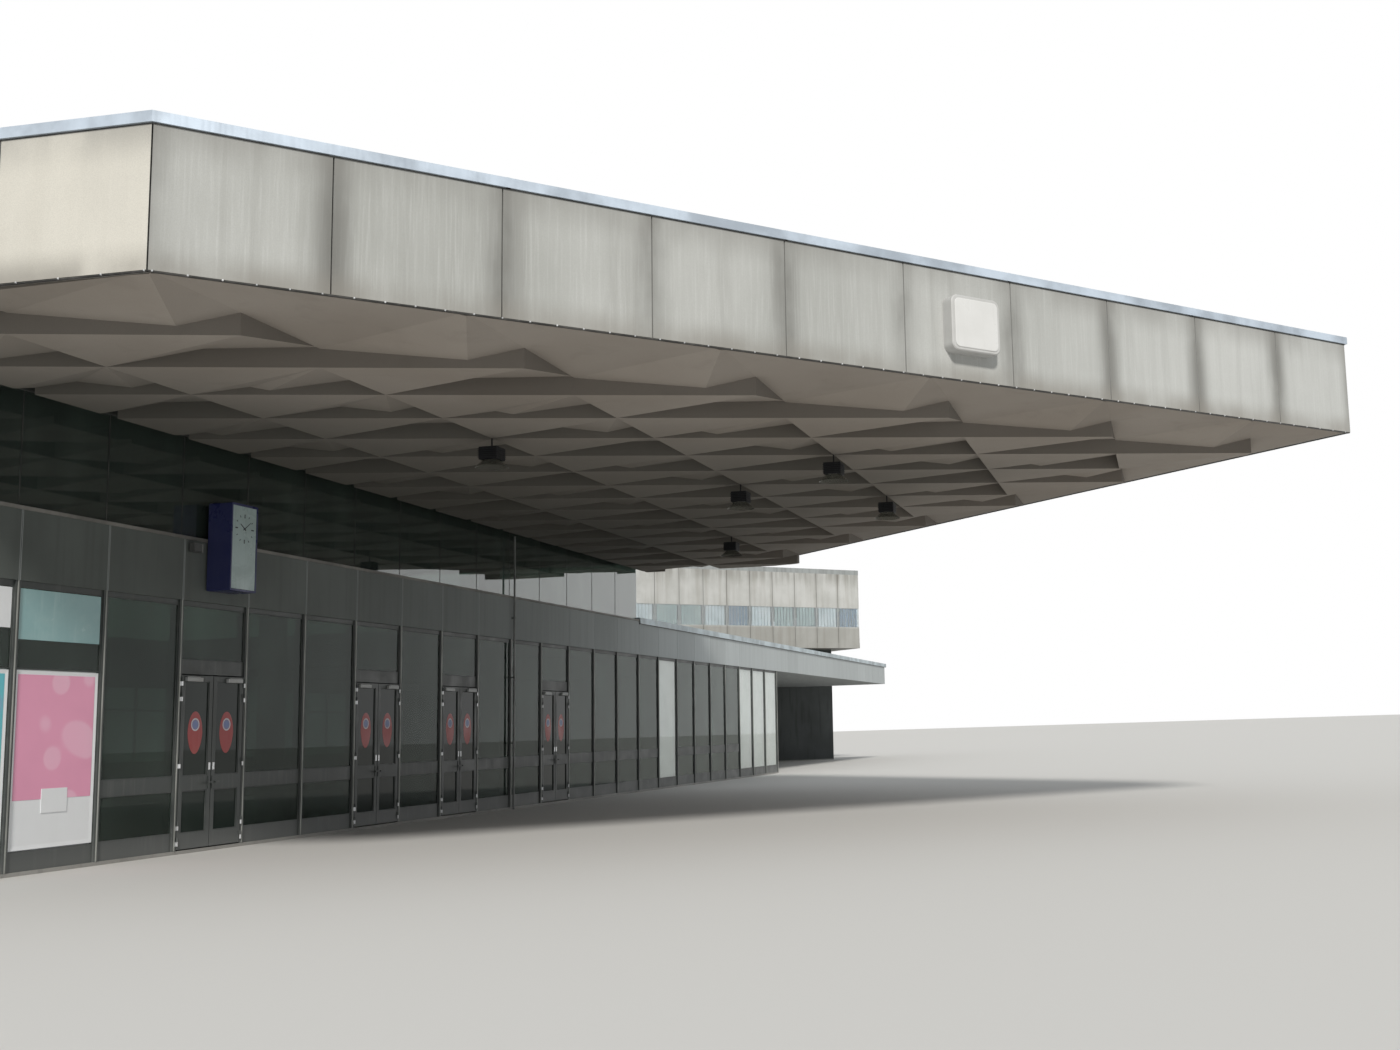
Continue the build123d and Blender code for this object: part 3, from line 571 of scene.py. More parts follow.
signPale = makePaint("signPale", (0.50, 0.50, 0.49), 0.45, (0.35, 0.35, 0.33), 0.2)
lampBlack = makePaint("lampBlack", (0.007, 0.008, 0.010), 0.5, (0.035, 0.035, 0.036), 0.2, specular=0.3)
pipeMetal = makeMetal("pipeMetal", (0.16, 0.165, 0.16), 0.45, 0.4)
frameGrey = makePaint("frameGrey", (0.40, 0.42, 0.42), 0.45, (0.30, 0.30, 0.29), 0.25)

concreteFolds = [f"ceiling_folds_{n}" for n in (1, 2, 3, 4)]
doorLeaves = [name for name in nodes if name.startswith("door_") and name.endswith(("_left", "_right"))]
finishes = (
    (slabConcrete, "floor_slab", "ceiling_slab", "roof_edge_beam", "hall_columns", "office_ground_slab"),
    (edgeConcrete, "fascia_front", "fascia_rear"), (foldConcrete, *concreteFolds),
    (roofFelt, "roof_deck", "office_roof", "low_roof"), (copingMetal, "roof_coping"),
    (bandConcrete, "hall_beams", "band_front"), (bandCapMetal, "band_coping"),
    (upperGlass, "clerestory_front", "clerestory_rear"), (sideGlass, "side_windows"),
    (shopGlass, "shop_glass"), (hingeMetal, "door_hinges"), (lampBlack, "ceiling_lamps"),
    (wallConcrete, "wall_left", "wall_back", "wing_end_wall"), (footConcrete, "office_walls"),
    (officeConcrete, "office_floor", "office_lower_panels", "office_upper_panels"),
    (officeGlass, "office_windows"), (frameGrey, "office_posts"), (posterWhite, "poster_boards"),
    (frameBronze, "shop_frames", "door_heads", *doorLeaves), (sheetWhite, "opaque_panels"),
    (signPale, "fascia_sign"), (clockBlue, "clock"), (pipeMetal, "downpipe"),
)
finished = set()
for material, *names in finishes:
    for name in names:
        nodes[name].data.materials.clear()
        nodes[name].data.materials.append(material)
        finished.add(name)
print("nodes with no finish:", sorted(set(nodes) - finished))

print("stage 3: roof edge")
roofEdge = {"studPitch": 0.137, "sidePitch": 0.205, "studRadius": 0.0045, "studDepth": 0.006,
            "studRise": -0.002, "studStart": 0.02, "studDeep": 0.0025, "drip": (0.016, 0.006),
            "line": (0.006, 0.007), "seamWidth": 0.024, "seamProud": 0.0015, "copingReach": 0.146,
            "lip": 0.014}
roofRight, roofBack = 5.152, 3.735
outline = [roofCorner, prowCorner, Vector((roofRight, roofCorner.y)), Vector((roofRight, roofBack)),
           Vector((roofCorner.x, roofBack))]
roofEnds = list(zip(outline, outline[1:] + outline[:1]))


# Length of a side of the roof, its direction, the direction inwards and its turn
def measureSide(first, last):
    along = (last - first).normalized()
    return (last - first).length, along, Vector((-along.y, along.x)), turnOf(last - first)


# Round-headed studs along the foot of the edge panels
def makeStuds():
    stud = startDisc("stud", roofEdge["studRadius"], roofEdge["studDepth"], turn=(pi / 2, 0, 0), sides=10)
    insetFaces(stud, isFront, roofEdge["studRadius"] * 0.4, push=(0, -0.002, 0))
    spots = []
    for first, last in roofEnds:
        length, along, inward, turn = measureSide(first, last)
        pitch = roofEdge["studPitch"] if abs(along.x * along.y) > 0.1 else roofEdge["sidePitch"]
        distance = roofEdge["studStart"]
        while distance < length:
            spot = first + along * distance + inward * roofEdge["studDeep"]
            spots.append(((spot.x, spot.y, edgePanels["bottom"] + roofEdge["studRise"]), turn))
            distance += pitch
    return layCopies(stud, spots, "edgeStuds")


# Thin dark profile that runs right round the roof under a height, its lower front edge rounded
def makeEdgeProfile(name, section, setBack, high):
    depth, height = section
    runs = []
    for first, last in roofEnds:
        length, along, inward, turn = measureSide(first, last)
        run = startBlock("run", (length - 2 * setBack, depth, height))
        bevelEdges(run, lambda edge: all(v.co.z < 0 and v.co.y < 0 for v in edge.verts), height / 2.2, 2)
        middle = (first + last) / 2 + inward * (depth / 2 + setBack)
        runs.append(layCopies(run, [((middle.x, middle.y, high - height / 2), turn)], "run"))
    return joinPieces(runs, name)


# Folded lap covers over the joints of the metal coping
def makeSeams():
    reach, lip, proud = roofEdge["copingReach"], roofEdge["lip"], roofEdge["seamProud"]
    height = roofHigh.z - edgePanels["top"]
    size = (roofEdge["seamWidth"], reach + lip, height + proud)
    seam = startBlock("seam", size, (0, (reach - lip) / 2, 0), 0.001)
    spots = []
    for first, last in roofEnds:
        length, along, inward, turn = measureSide(first, last)
        count = round(length / (2 * edgePanels["width"]))
        for number in range(1, count):
            spot = first + along * (length * number / count) + inward * 0.0002
            spots.append(((spot.x, spot.y, edgePanels["top"] + (height + proud) / 2), turn))
    return layCopies(seam, spots, "copingSeams")


foldEnd = {"gap": 0.235, "farGap": 0.070, "sheet": 0.004, "railLow": 2.588, "railDepth": 0.030}
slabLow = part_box("ceiling_slab")[0]
foldLow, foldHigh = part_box("ceiling_folds_1")


# The folds stop short of the upper glass: a copy of the first rows, cut off there, stands for them
def makeCutFolds():
    folds = nodes["ceiling_folds_1"].copy()
    folds.data = folds.data.copy()
    bpy.context.collection.objects.link(folds)
    folds.parent = None
    folds.name = "foldsCut"
    for key in [k for k in folds.keys() if k.startswith("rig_")]:
        del folds[key]
    pick(folds)
    bpy.ops.object.mode_set(mode="EDIT")
    bpy.ops.mesh.select_all(action="SELECT")
    bpy.ops.mesh.remove_doubles(threshold=0.00002)
    slope = (foldEnd["gap"] - foldEnd["farGap"]) / (foldHigh.x - foldLow.x)
    bpy.ops.mesh.bisect(plane_co=(foldLow.x, foldHigh.y - foldEnd["gap"], 0), plane_no=(-slope, 1, 0),
                        use_fill=True, clear_outer=True)
    leaveEdit()
    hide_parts("ceiling_folds_1")
    return folds


# Dark sheet in the gap over the glass, a painted shadow in that recess, and the rail that holds the glass at
# its head
def makeHeadRail():
    back, high = foldHigh.y, slabLow.z - 0.0003
    # The sheet is painted shadow under the slab, in the recess over the glass
    sheet = spanBlock("sheet", (foldLow.x + 0.005, back - foldEnd["gap"] + 0.010, high - foldEnd["sheet"]),
                      (foldHigh.x - 0.005, back - 0.002, high))
    editEdges(sheet, lambda edge: all(v.co.x > 0 and v.co.y < back - 0.1 for v in edge.verts))
    bpy.ops.transform.translate(value=(0, foldEnd["gap"] - foldEnd["farGap"], 0))
    leaveEdit()
    softenEdges(sheet, 0.0008)
    rail = spanBlock("rail", (hallLow.x, back - foldEnd["railDepth"] - 0.0003, foldEnd["railLow"]),
                     (hallHigh.x, back - 0.0003, slabLow.z - 0.006))
    bevelEdges(rail, lambda edge: all(v.co.z < slabLow.z - 0.03 for v in edge.verts), 0.006, 2)
    return joinPieces([sheet, rail], "glassHeadRail")


finishPiece(makeCutFolds(), foldConcrete)
# Very dark paint for the painted-shadow sheet and for the rail
gapShadowAndRailPaint = makePaint("gapShadowAndRailPaint", (0.022, 0.024, 0.022), 0.6, (0.045, 0.048, 0.043), 0.2)
finishPiece(makeHeadRail(), gapShadowAndRailPaint)
upperJoint = {"width": 0.007, "depth": 0.0022}
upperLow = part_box("clerestory_front")[0]


# Upright sealing joints between the panes of the upper glass
def makeUpperJoints():
    low, high = upperLow.z + 0.006, foldEnd["railLow"] + 0.004
    joint = startBlock("joint", (upperJoint["width"], upperJoint["depth"], high - low), soften=0.0008)
    y = upperLow.y - upperJoint["depth"] / 2 + 0.0004
    spots = [((postX(n), y, (low + high) / 2), 0) for n in range(hallBays - 1)]
    return layCopies(joint, spots, "upperJoints")


jointBlack = makePaint("jointBlack", (0.012, 0.012, 0.012), 0.7)
finishPiece(makeUpperJoints(), jointBlack)
finishPiece(makeStuds(), hingeMetal)
# Dark paint for the drips, and for the strips that are painted shadow under the coping and the kerb
dripAndShadowPaint = makePaint("dripAndShadowPaint", (0.035, 0.034, 0.032), 0.5)
edgeDrips = makeEdgeProfile("edgeDrips", roofEdge["drip"], 0.003, edgePanels["bottom"])
finishPiece(edgeDrips, dripAndShadowPaint)
# Painted shadow: a thin dark strip right round the roof, under the coping's lip
copingShadowLine = makeEdgeProfile("copingShadowLine", roofEdge["line"], -0.0012, edgePanels["top"] - 0.0002)
finishPiece(copingShadowLine, dripAndShadowPaint)
finishPiece(makeSeams(), copingMetal)

kerb = {"low": 1.911, "high": 1.979, "sheet": 0.004, "depth": 0.070, "proud": 0.0165, "over": 0.110,
        "line": 0.007, "seam": 0.016, "seams": (hallBays + 1, lastPost + 12, 2)}
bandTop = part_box("band_coping")[1].z


# Pale sheet metal kerb that covers the head of the band past the hall, with lap covers
def makeKerb():
    start, end = hallHigh.x + 0.004, bandHigh.x + kerb["over"]
    front = bandLow.y - kerb["proud"]
    back, low, high = front + kerb["sheet"], kerb["low"], kerb["high"]
    seam = startBlock("seam", (kerb["seam"], kerb["sheet"], high - low + 0.002), soften=0.0008)
    y, z = (front + back) / 2 - 0.0012, (low + high) / 2
    seams = layCopies(seam, [((postX(n), y, z), 0) for n in range(*kerb["seams"])], "seams")
    face = spanBlock("face", (start, front, low), (end, back, high), 0.001)
    top = spanBlock("top", (start, back, bandTop + 0.0005), (end, back + kerb["depth"], high), 0.002)
    return joinPieces([face, top, seams], "wingKerb")


# Dark line under the kerb: a slim drip strip, painted dark as painted shade under the kerb's edge
def makeKerbLine():
    start, end = hallHigh.x + 0.004, bandHigh.x + kerb["over"] - 0.004
    back, high = bandLow.y - 0.0004, kerb["low"] + 0.001
    return spanBlock("kerbLine", (start, back - kerb["proud"] + kerb["sheet"], high - kerb["line"]),
                     (end, back, high), 0.001)


finishPiece(makeKerb(), makeMetal("kerbMetal", (0.46, 0.53, 0.56), 0.45, 0.35))
finishPiece(makeKerbLine(), dripAndShadowPaint)

print("stage 4: shop front")
shopFront = {"cap": (0.009, 0.005), "capLow": 0.022, "capTop": 1.555, "bead": (0.006, 0.004),
             "plinthTop": 0.125, "railLow": 0.380, "railHigh": 0.470, "headLow": 1.525, "posterTop": 1.085,
             "transomHigh": 1.186, "paneWidth": bay - postWidth, "outerFront": postLow.y + 0.012,
             "outerThick": 0.004}


# Slim bright cover strips on the posts
def makePostCaps():
    width, depth = shopFront["cap"]
    height = shopFront["capTop"] - shopFront["capLow"]
    cap = startBlock("cap", (width, depth, height))
    bevelEdges(cap, lambda edge: all(v.co.y < 0 for v in edge.verts)
               and edge.verts[0].co.x == edge.verts[1].co.x, 0.002, 2)
    y, z = postLow.y - depth / 2 + 0.0005, shopFront["capLow"] + height / 2
    return layCopies(cap, [((postX(n), y, z), 0) for n in range(-1, lastPost + 1)], "postCaps")


# Glazing beads round one size of pane, in the bays that have it
def makeBeads(name, low, high, bays):
    width, depth = shopFront["bead"]
    bead = startRim("bead", shopFront["paneWidth"], high - low, width, depth)
    y = shopFront["outerFront"] - depth / 2 + 0.0005
    return layCopies(bead, [((bayMiddle(n), y, (low + high) / 2), 0) for n in bays], name)


# Outer panes of the double glazing, with ground edges
def makePanes(name, low, high, bays):
    size = (shopFront["paneWidth"] - 0.001, shopFront["outerThick"], high - low - 0.001)
    pane = startBlock("pane", size, soften=0.0008)
    y = shopFront["outerFront"] + shopFront["outerThick"] / 2
    return layCopies(pane, [((bayMiddle(n), y, (low + high) / 2), 0) for n in bays], name)


plainBays = [n for n in range(1, lastPost) if n not in doorBays + closedBays]
finishPiece(makePostCaps(), capMetal)
for name, low, high, bays in (
    ("Lower", shopFront["plinthTop"], shopFront["railLow"], plainBays),
    ("Upper", shopFront["railHigh"], shopFront["headLow"], plainBays),
    ("Transom", shopFront["transomHigh"], shopFront["headLow"], doorBays),
    ("Poster", shopFront["posterTop"], shopFront["headLow"], [-1, 0]),
    ("Sheet", shopFront["plinthTop"], shopFront["headLow"], closedBays),
):
    finishPiece(makeBeads("beads" + name, low, high, bays), frameBronze)
    glass = clearGlass if name == "Sheet" else outerGlass
    finishPiece(makePanes("panes" + name, low, high, bays), glass)

posters = {"border": 0.022, "thick": 0.0025, "depth": 0.0178, "foot": 0.26, "margin": 0.006,
           "label": (0.19, 0.003, 0.13), "labelShift": 0.01, "fieldThick": 0.002,
           "fields": {-1: (0.12, 0.50, 0.58), 0: (0.80, 0.34, 0.50)},
           "shades": {-1: (0.36, 0.22, 0.50), 0: (0.88, 0.55, 0.68)}}


# Plain printed field: one ground colour with soft round shapes, a little wavy
def makeFieldPrint(name, ground, shade):
    look = Look(name, ground, 0.3)
    rounds = look.node("TexVoronoi", {"Vector": look.coords, "Scale": 4.5}, feature="SMOOTH_F1")
    colour = look.mix(look.ramp(rounds.outputs["Distance"], 0.25, 0.33, 0.75, 0), ground, shade)
    paler = tuple(min(1, c * 1.25) for c in ground)
    colour = look.tint(colour, paler, look.noise(2.5, 3), 0.3, 0.7, 0.3)
    return look.end(colour, look.noise(3, 2), 0.001, 0.3)


# Poster: white tray with a sunk coloured field and a bare label plate
def makePoster(number):
    low, high = shopFront["plinthTop"] + posters["margin"], shopFront["posterTop"] - posters["margin"]
    width, border, x = shopFront["paneWidth"] - 2 * posters["margin"], posters["border"], bayMiddle(number)
    front = shopFront["outerFront"] + posters["thick"]
    sheet = startBlock(f"posterSheet_{number + 1}", (width, posters["depth"], high - low),
                       (x, shopFront["outerFront"] + posters["depth"] / 2, (low + high) / 2))
    insetFaces(sheet, isFront, border, push=(0, posters["thick"], 0))
    finishPiece(sheet, posterWhite)
    top, bottom = high - border, low + posters["foot"]
    field = startBlock(f"posterField_{number + 1}", (width - 2 * border, posters["fieldThick"], top - bottom),
                       (x, front - 0.0002, (top + bottom) / 2))
    colour = makeFieldPrint(f"posterPrint_{number + 1}", posters["fields"][number], posters["shades"][number])
    finishPiece(insetFaces(field, isFront, 0.002, 0.0004), colour)
    place = (x + posters["labelShift"], front - 0.0024, bottom - posters["labelShift"])
    label = startBlock(f"posterLabel_{number + 1}", posters["label"], place, 0.001)
    finishPiece(label, posterWhite)


for number in (-1, 0):
    makePoster(number)

windowFilm = {"low": 1.243, "paleLow": 1.30, "thick": 0.002, "margin": 0.011}


# Pale films on the panes at the tops of the two poster bays
def makeFilm(name, number, low):
    width, high = shopFront["paneWidth"] - 2 * windowFilm["margin"], shopFront["headLow"] - 0.01
    film = startBlock(name, (width, windowFilm["thick"], high - low),
                      (bayMiddle(number), shopFront["outerFront"] - 0.0008, (low + high) / 2))
    return insetFaces(film, isFront, 0.003, -0.0004)


filmTurquoise = makePaint("filmTurquoise", (0.24, 0.42, 0.43), 0.15, (0.36, 0.54, 0.54), 0.5)
finishPiece(makeFilm("windowFilm_1", 0, windowFilm["low"]), filmTurquoise)
finishPiece(makeFilm("windowFilm_0", -1, windowFilm["paleLow"]), posterWhite)

print("stage 5: door leaves")
doors = {"leafWidth": 0.303, "leafTop": 1.090, "stile": 0.034, "gap": 0.006, "thick": 0.026, "glass": 0.006,
         "kick": 0.123, "bead": 0.006, "closer": (0.150, 0.020, 0.026), "closerInset": 0.012,
         "closerStart": 0.03, "arm": (0.12, 0.010, 0.005), "armStart": 0.04, "armInset": 0.0095,
         "armOff": 0.011, "plate": (0.018, 0.004, 0.046), "plateRise": 0.055, "paneOff": 0.0006,
         "beadOff": 0.0045}
stickers = {"oval": (0.070, 0.132), "height": 0.735, "taper": 0.10, "ring": 0.040, "ringWidth": 0.009,
            "disc": 0.029, "markShare": 0.38, "thick": 0.0006, "off": 0.0012}
leafGlass = makeGlass("leafGlass", (0.018, 0.026, 0.022), 0.0, 0.02, 0.5, index=1.3)
stickerRed = makePaint("stickerRed", (0.36, 0.035, 0.035), 0.35, (0.42, 0.16, 0.15), 0.3)
stickerPale = makePaint("stickerPale", (0.60, 0.62, 0.68), 0.35, (0.4, 0.4, 0.46), 0.3)
stickerBlue = makePaint("stickerBlue", (0.16, 0.21, 0.42), 0.35, (0.3, 0.34, 0.46), 0.3)
paneY = postLow.y + doors["thick"] / 2


# Panes and beads on both faces of a leaf's two fields of glass
def dressLeafGlass(tag, body, middle):
    inner = doors["leafWidth"] - 2 * doors["stile"]
    panes, beads = [], []
    for low, high in ((doors["kick"], shopFront["railLow"]),
                      (shopFront["railHigh"], doors["leafTop"] - doors["stile"])):
        size, z = (inner - 0.002, 0.001, high - low - 0.002), (low + high) / 2
        for face in (-1, 1):
            surface = paneY + face * doors["glass"] / 2
            panes.append(startBlock("pane", size, (middle, surface + face * doors["paneOff"], z), 0.0003))
            bead = startRim("bead", inner, high - low, doors["bead"], doors["bead"], 0.001)
            beads.append(movePiece(bead, (middle, surface + face * doors["beadOff"], z)))
    finishPiece(joinPieces(panes, f"leafPanes_{tag}"), leafGlass, body)
    finishPiece(joinPieces(beads, f"leafBeads_{tag}"), frameBronze, body)


# Closer: a box at the top of the leaf by the hinges, with its flat arm
def dressCloser(tag, body, edge, toward):
    length, depth, height = doors["closer"]
    x = edge + toward * (doors["closerStart"] + length / 2)
    z = doors["leafTop"] - doors["closerInset"] - height / 2
    closer = startBlock("closer", doors["closer"], (x, postLow.y - depth / 2 + 0.0002, z), 0.003, 2)
    place = (edge + toward * (doors["armStart"] + doors["arm"][0] / 2), postLow.y - doors["armOff"],
             doors["leafTop"] - doors["armInset"])
    arm = startBlock("arm", doors["arm"], place, 0.0015)
    finishPiece(joinPieces([closer, arm], f"doorCloser_{tag}"), closerPaint, body)


# Sticker on the upper glass: a red tapered oval with a blue disc in a pale ring
def dressSticker(tag, body, middle):
    front, upright = paneY - doors["glass"] / 2 - stickers["off"], (pi / 2, 0, 0)
    halfWidth, halfHeight = stickers["oval"]
    oval = startDisc("oval", 1, stickers["thick"], turn=upright, sides=40)
    oval.scale = (halfWidth, 1, halfHeight)
    applyPlace(oval)
    for vertex in oval.data.vertices:
        vertex.co.x *= 1 - stickers["taper"] * max(0.0, -vertex.co.z / halfHeight)
    insetFaces(oval, isFront, 0.004, 0.0002)
    ring = startDisc("ring", stickers["ring"], 0.0008, turn=upright, sides=32)
    openThrough(ring, stickers["ringWidth"])
    disc = startDisc("disc", stickers["disc"], stickers["thick"], turn=upright, sides=28)
    insetFaces(disc, isFront, 0.006, 0.0002)
    markPlace = (middle, front - 0.0004, stickers["height"] + halfHeight * stickers["markShare"])
    for piece, name, place, paint in ((oval, "doorOval", (middle, front, stickers["height"]), stickerRed),
                                      (ring, "ovalRing", markPlace, stickerPale),
                                      (disc, "ovalDisc", markPlace, stickerBlue)):
        piece.name = f"{name}_{tag}"
        finishPiece(movePiece(piece, place), paint, body)


def dressLeaf(order, number, side):
    body, tag = f"leaf_{order}_{side}", f"{order}_{side}"
    toward = 1 if side == "left" else -1
    edge = (postX(number) if side == "left" else postX(number + 1)) + toward * (postWidth / 2 + doors["gap"])
    middle = edge + toward * doors["leafWidth"] / 2
    dressLeafGlass(tag, body, middle)
    dressCloser(tag, body, edge, toward)
    dressSticker(tag, body, middle)
    # lock plate beside the meeting edge
    place = (edge + toward * (doors["leafWidth"] - doors["stile"] / 2),
             postLow.y - doors["plate"][1] / 2 + 0.0002, shopFront["railHigh"] + doors["plateRise"])
    plate = startBlock(f"lockPlate_{tag}", doors["plate"], place, 0.001)
    finishPiece(plate, hingeMetal, body)


for order, number in enumerate(doorBays, start=1):
    for side in ("left", "right"):
        dressLeaf(order, number, side)

print("stage 6: clock, lamps, sign and pipe")
clockLow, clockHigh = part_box("clock")
clock = {"middle": (clockLow.x + clockHigh.x) / 2, "face": clockLow.y + 0.004, "dialRadius": 0.105,
         "dialHeight": clockLow.z + 0.405, "rim": 0.012, "longStroke": (0.008, 0.026),
         "shortStroke": (0.005, 0.014), "margin": 0.010, "thick": 0.0012, "hour": (0.009, 0.052),
         "minute": (0.006, 0.080), "tail": 0.015, "time": (10, 9)}


# Dial panel, and the strokes and hands, each of a width and a reach, that lie on it
def makeClockParts():
    rims = 2 * clock["rim"] + 0.004
    size = (clockHigh.x - clockLow.x - rims, 0.002, clockHigh.z - clockLow.z - rims)
    place = (clock["middle"], clock["face"] - 0.0012, (clockLow.z + clockHigh.z) / 2)
    panel = startBlock("clockPanel", size, place, 0.0008)
    front = clock["face"] - 0.0027
    marks = []
    for minute in range(0, 60, 5):
        width, reach = clock["shortStroke"] if minute % 15 else clock["longStroke"]
        stroke = startBlock("stroke", (width, clock["thick"], reach),
                            (0, 0, clock["dialRadius"] - clock["margin"] - reach / 2))
        movePiece(stroke, (clock["middle"], front, clock["dialHeight"]), (0, radians(minute * 6), 0))
        marks.append(softenEdges(stroke, 0.0003))
    hour, minute = clock["time"]
    for (width, reach), angle in ((clock["hour"], (hour + minute / 60) * 30), (clock["minute"], minute * 6)):
        hand = startBlock("hand", (width, clock["thick"], reach + clock["tail"]),
                          (0, 0, (reach - clock["tail"]) / 2))
        shiftFaces(hand, lambda face: face.normal.z > 0.9, scale=(0.5, 1, 1))
        place = (clock["middle"], front - 0.0004, clock["dialHeight"])
        marks.append(movePiece(hand, place, (0, radians(angle), 0)))
    return panel, joinPieces(marks, "clockMarks")


clockPanel, clockMarks = makeClockParts()
dialPale = makePaint("dialPale", (0.40, 0.50, 0.50), 0.22, (0.26, 0.34, 0.33), 0.5)
markBlack = makePaint("markBlack", (0.012, 0.013, 0.02), 0.4, (0.03, 0.03, 0.04), 0.2)
finishPiece(clockPanel, dialPale)
finishPiece(clockMarks, markBlack)

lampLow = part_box("ceiling_lamps")[0]
lamps = {"side": 0.120, "low": lampLow.z, "shadeLow": 0.046, "topRadius": 0.052, "rimRadius": 0.104,
         "thick": 0.002, "fins": 5, "finProud": 0.005, "finBorder": 0.0052, "finThick": 0.004,
         "finStart": 0.014, "finPitch": 0.013, "cell": 1.350,
         "spots": [(0, 5), (2, 4), (1, 7), (2, 7), (0, 13)]}


# Spots of the lamps at a height, by diagonal and row of the ceiling's turned grid, as in the solids
def lampSpots(z):
    step = lamps["cell"] * slant
    return [((roofCorner.x + (diagonal + 2 * row / 3) * step, roofCorner.y - diagonal * step, z), 0)
            for diagonal, row in lamps["spots"]]


# Flared shade of smoky glass under each lamp box
def makeShades():
    shade = startDisc("shade", lamps["topRadius"], lamps["shadeLow"], sides=32)
    editFaces(shade, lambda face: face.normal.z < -0.9)
    bpy.ops.transform.resize(value=(lamps["rimRadius"] / lamps["topRadius"],) * 2 + (1,))
    bpy.ops.mesh.delete(type="FACE")
    leaveEdit()
    pick(shade)
    wall = shade.modifiers.new("wall", "SOLIDIFY")
    wall.thickness = lamps["thick"]
    bpy.ops.object.modifier_apply(modifier="wall")
    bpy.ops.object.shade_smooth_by_angle(angle=radians(40))
    return layCopies(shade, lampSpots(lamps["low"] - lamps["shadeLow"] / 2 + 0.0005), "lampShades")


# Cooling fins round the lamp boxes
def makeFins():
    side = lamps["side"] + 2 * lamps["finProud"]
    fin = startRim("fin", side, side, lamps["finBorder"], lamps["finThick"], 0.0006)
    movePiece(fin, (0, 0, 0), (pi / 2, 0, 0))
    low = lamps["low"] + lamps["finStart"]
    spots = [spot for k in range(lamps["fins"]) for spot in lampSpots(low + lamps["finPitch"] * k)]
    return layCopies(fin, spots, "lampFins")


finishPiece(makeShades(), smokeGlass)
finishPiece(makeFins(), lampBlack)

signLow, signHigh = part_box("fascia_sign")
sign = {"size": (0.350, 0.330), "corner": 0.040, "rim": 0.020, "thick": 0.004}


# Pale face of the bare light box, set in a grey rim
def makeSignFace():
    width, height = sign["size"]
    middle = (signLow + signHigh) / 2
    face = startBlock("signFace", (width - 2 * sign["rim"], sign["thick"], height - 2 * sign["rim"]))
    bevelEdges(face, lambda edge: abs((edge.verts[0].co - edge.verts[1].co).y) > 0.001,
               sign["corner"] - sign["rim"] * 0.5, 6)
    insetFaces(face, isFront, 0.004, 0.0012)
    outward = Vector((-1, -1, 0)).normalized()
    reach = max(outward.dot(v.co) for v in nodes["fascia_sign"].data.vertices)
    place = middle + outward * (reach - outward.dot(middle) + sign["thick"] / 2 - 0.0005)
    return layCopies(face, [(place, -pi / 4)], "signFace")


signLight = makePaint("signLight", (0.66, 0.66, 0.65), 0.3, (0.52, 0.52, 0.5), 0.2)
finishPiece(makeSignFace(), signLight)

pipeLow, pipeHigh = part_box("downpipe")
pipe = {"x": (pipeLow.x + pipeHigh.x) / 2, "y": pipeLow.y + 0.014, "radius": 0.009, "wall": 0.0015,
        "clips": [0.600, 1.200, 1.750], "clipSize": (0.012, 0.014), "socket": (0.012, 0.022)}


# Slim pipe with its wall clips and short sockets, finer than the solid that it stands for
def makePipe():
    tube = startDisc("tube", pipe["radius"], pipeHigh.z, (pipe["x"], pipe["y"], pipeHigh.z / 2))
    pick(openThrough(tube, pipe["wall"], axis=2))
    bpy.ops.object.shade_smooth_by_angle(angle=radians(40))
    parts = [tube]
    width, rise = pipe["clipSize"]
    for height in pipe["clips"]:
        socket = startDisc("socket", *pipe["socket"], (pipe["x"], pipe["y"], height))
        clip = startBlock("clip", (width, pipeHigh.y - pipe["y"], rise),
                          (pipe["x"], (pipeHigh.y + pipe["y"]) / 2, height), 0.001)
        parts += [softenEdges(socket, 0.001), clip]
    return joinPieces(parts, "slimPipe")


slimPipe = finishPiece(makePipe(), pipeMetal)
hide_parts("downpipe")

flood = {"x": hallLow.x + 2.05, "z": 1.885, "size": (0.085, 0.034, 0.055), "off": 0.012,
         "bracket": (0.016, 0.020, 0.010), "bracketDrop": 0.010}


# Small floodlight on a bracket at the head of the band
def makeFlood():
    y = bandLow.y - flood["off"] - flood["size"][1] / 2
    body = startBlock("body", flood["size"], (flood["x"], y, flood["z"]))
    insetFaces(body, isFront, 0.005, push=(0, 0.004, 0))
    place = (flood["x"], bandLow.y - flood["off"] / 2, flood["z"] - flood["bracketDrop"])
    return joinPieces([body, startBlock("bracket", flood["bracket"], place, 0.001)], "bandFlood")


finishPiece(makeFlood(), pipeMetal)

print("stage 7: side windows")
sideWindow = {"width": 1.180, "low": 0.470, "high": 1.400, "pitch": 1.320, "frame": 0.035, "depth": 0.040,
              "inset": 0.060, "rail": 0.028, "railShare": 0.68, "overlap": 0.06, "sill": (0.060, 0.018),
              "sillOff": 0.046, "left": 4, "back": 11}
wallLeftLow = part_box("wall_left")[0]
wallBackLow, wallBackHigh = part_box("wall_back")


# Frame with a middle bar and a vent light's rail, made once at the origin
def makeSideFrame():
    width, frame, depth = sideWindow["width"], sideWindow["frame"], sideWindow["depth"]
    height = sideWindow["high"] - sideWindow["low"]
    middle = (sideWindow["low"] + sideWindow["high"]) / 2
    rim = movePiece(startRim("frame", width, height, frame, depth, 0.003), (0, 0, middle))
    bar = startBlock("bar", (frame, depth - 0.006, height - sideWindow["overlap"]), (0, 0, middle), 0.003)
    rail = startBlock("rail", (width - sideWindow["overlap"], depth - 0.010, sideWindow["rail"]),
                      (0, 0, sideWindow["low"] + height * sideWindow["railShare"]), 0.003)
    return joinPieces([rim, bar, rail], "frame")


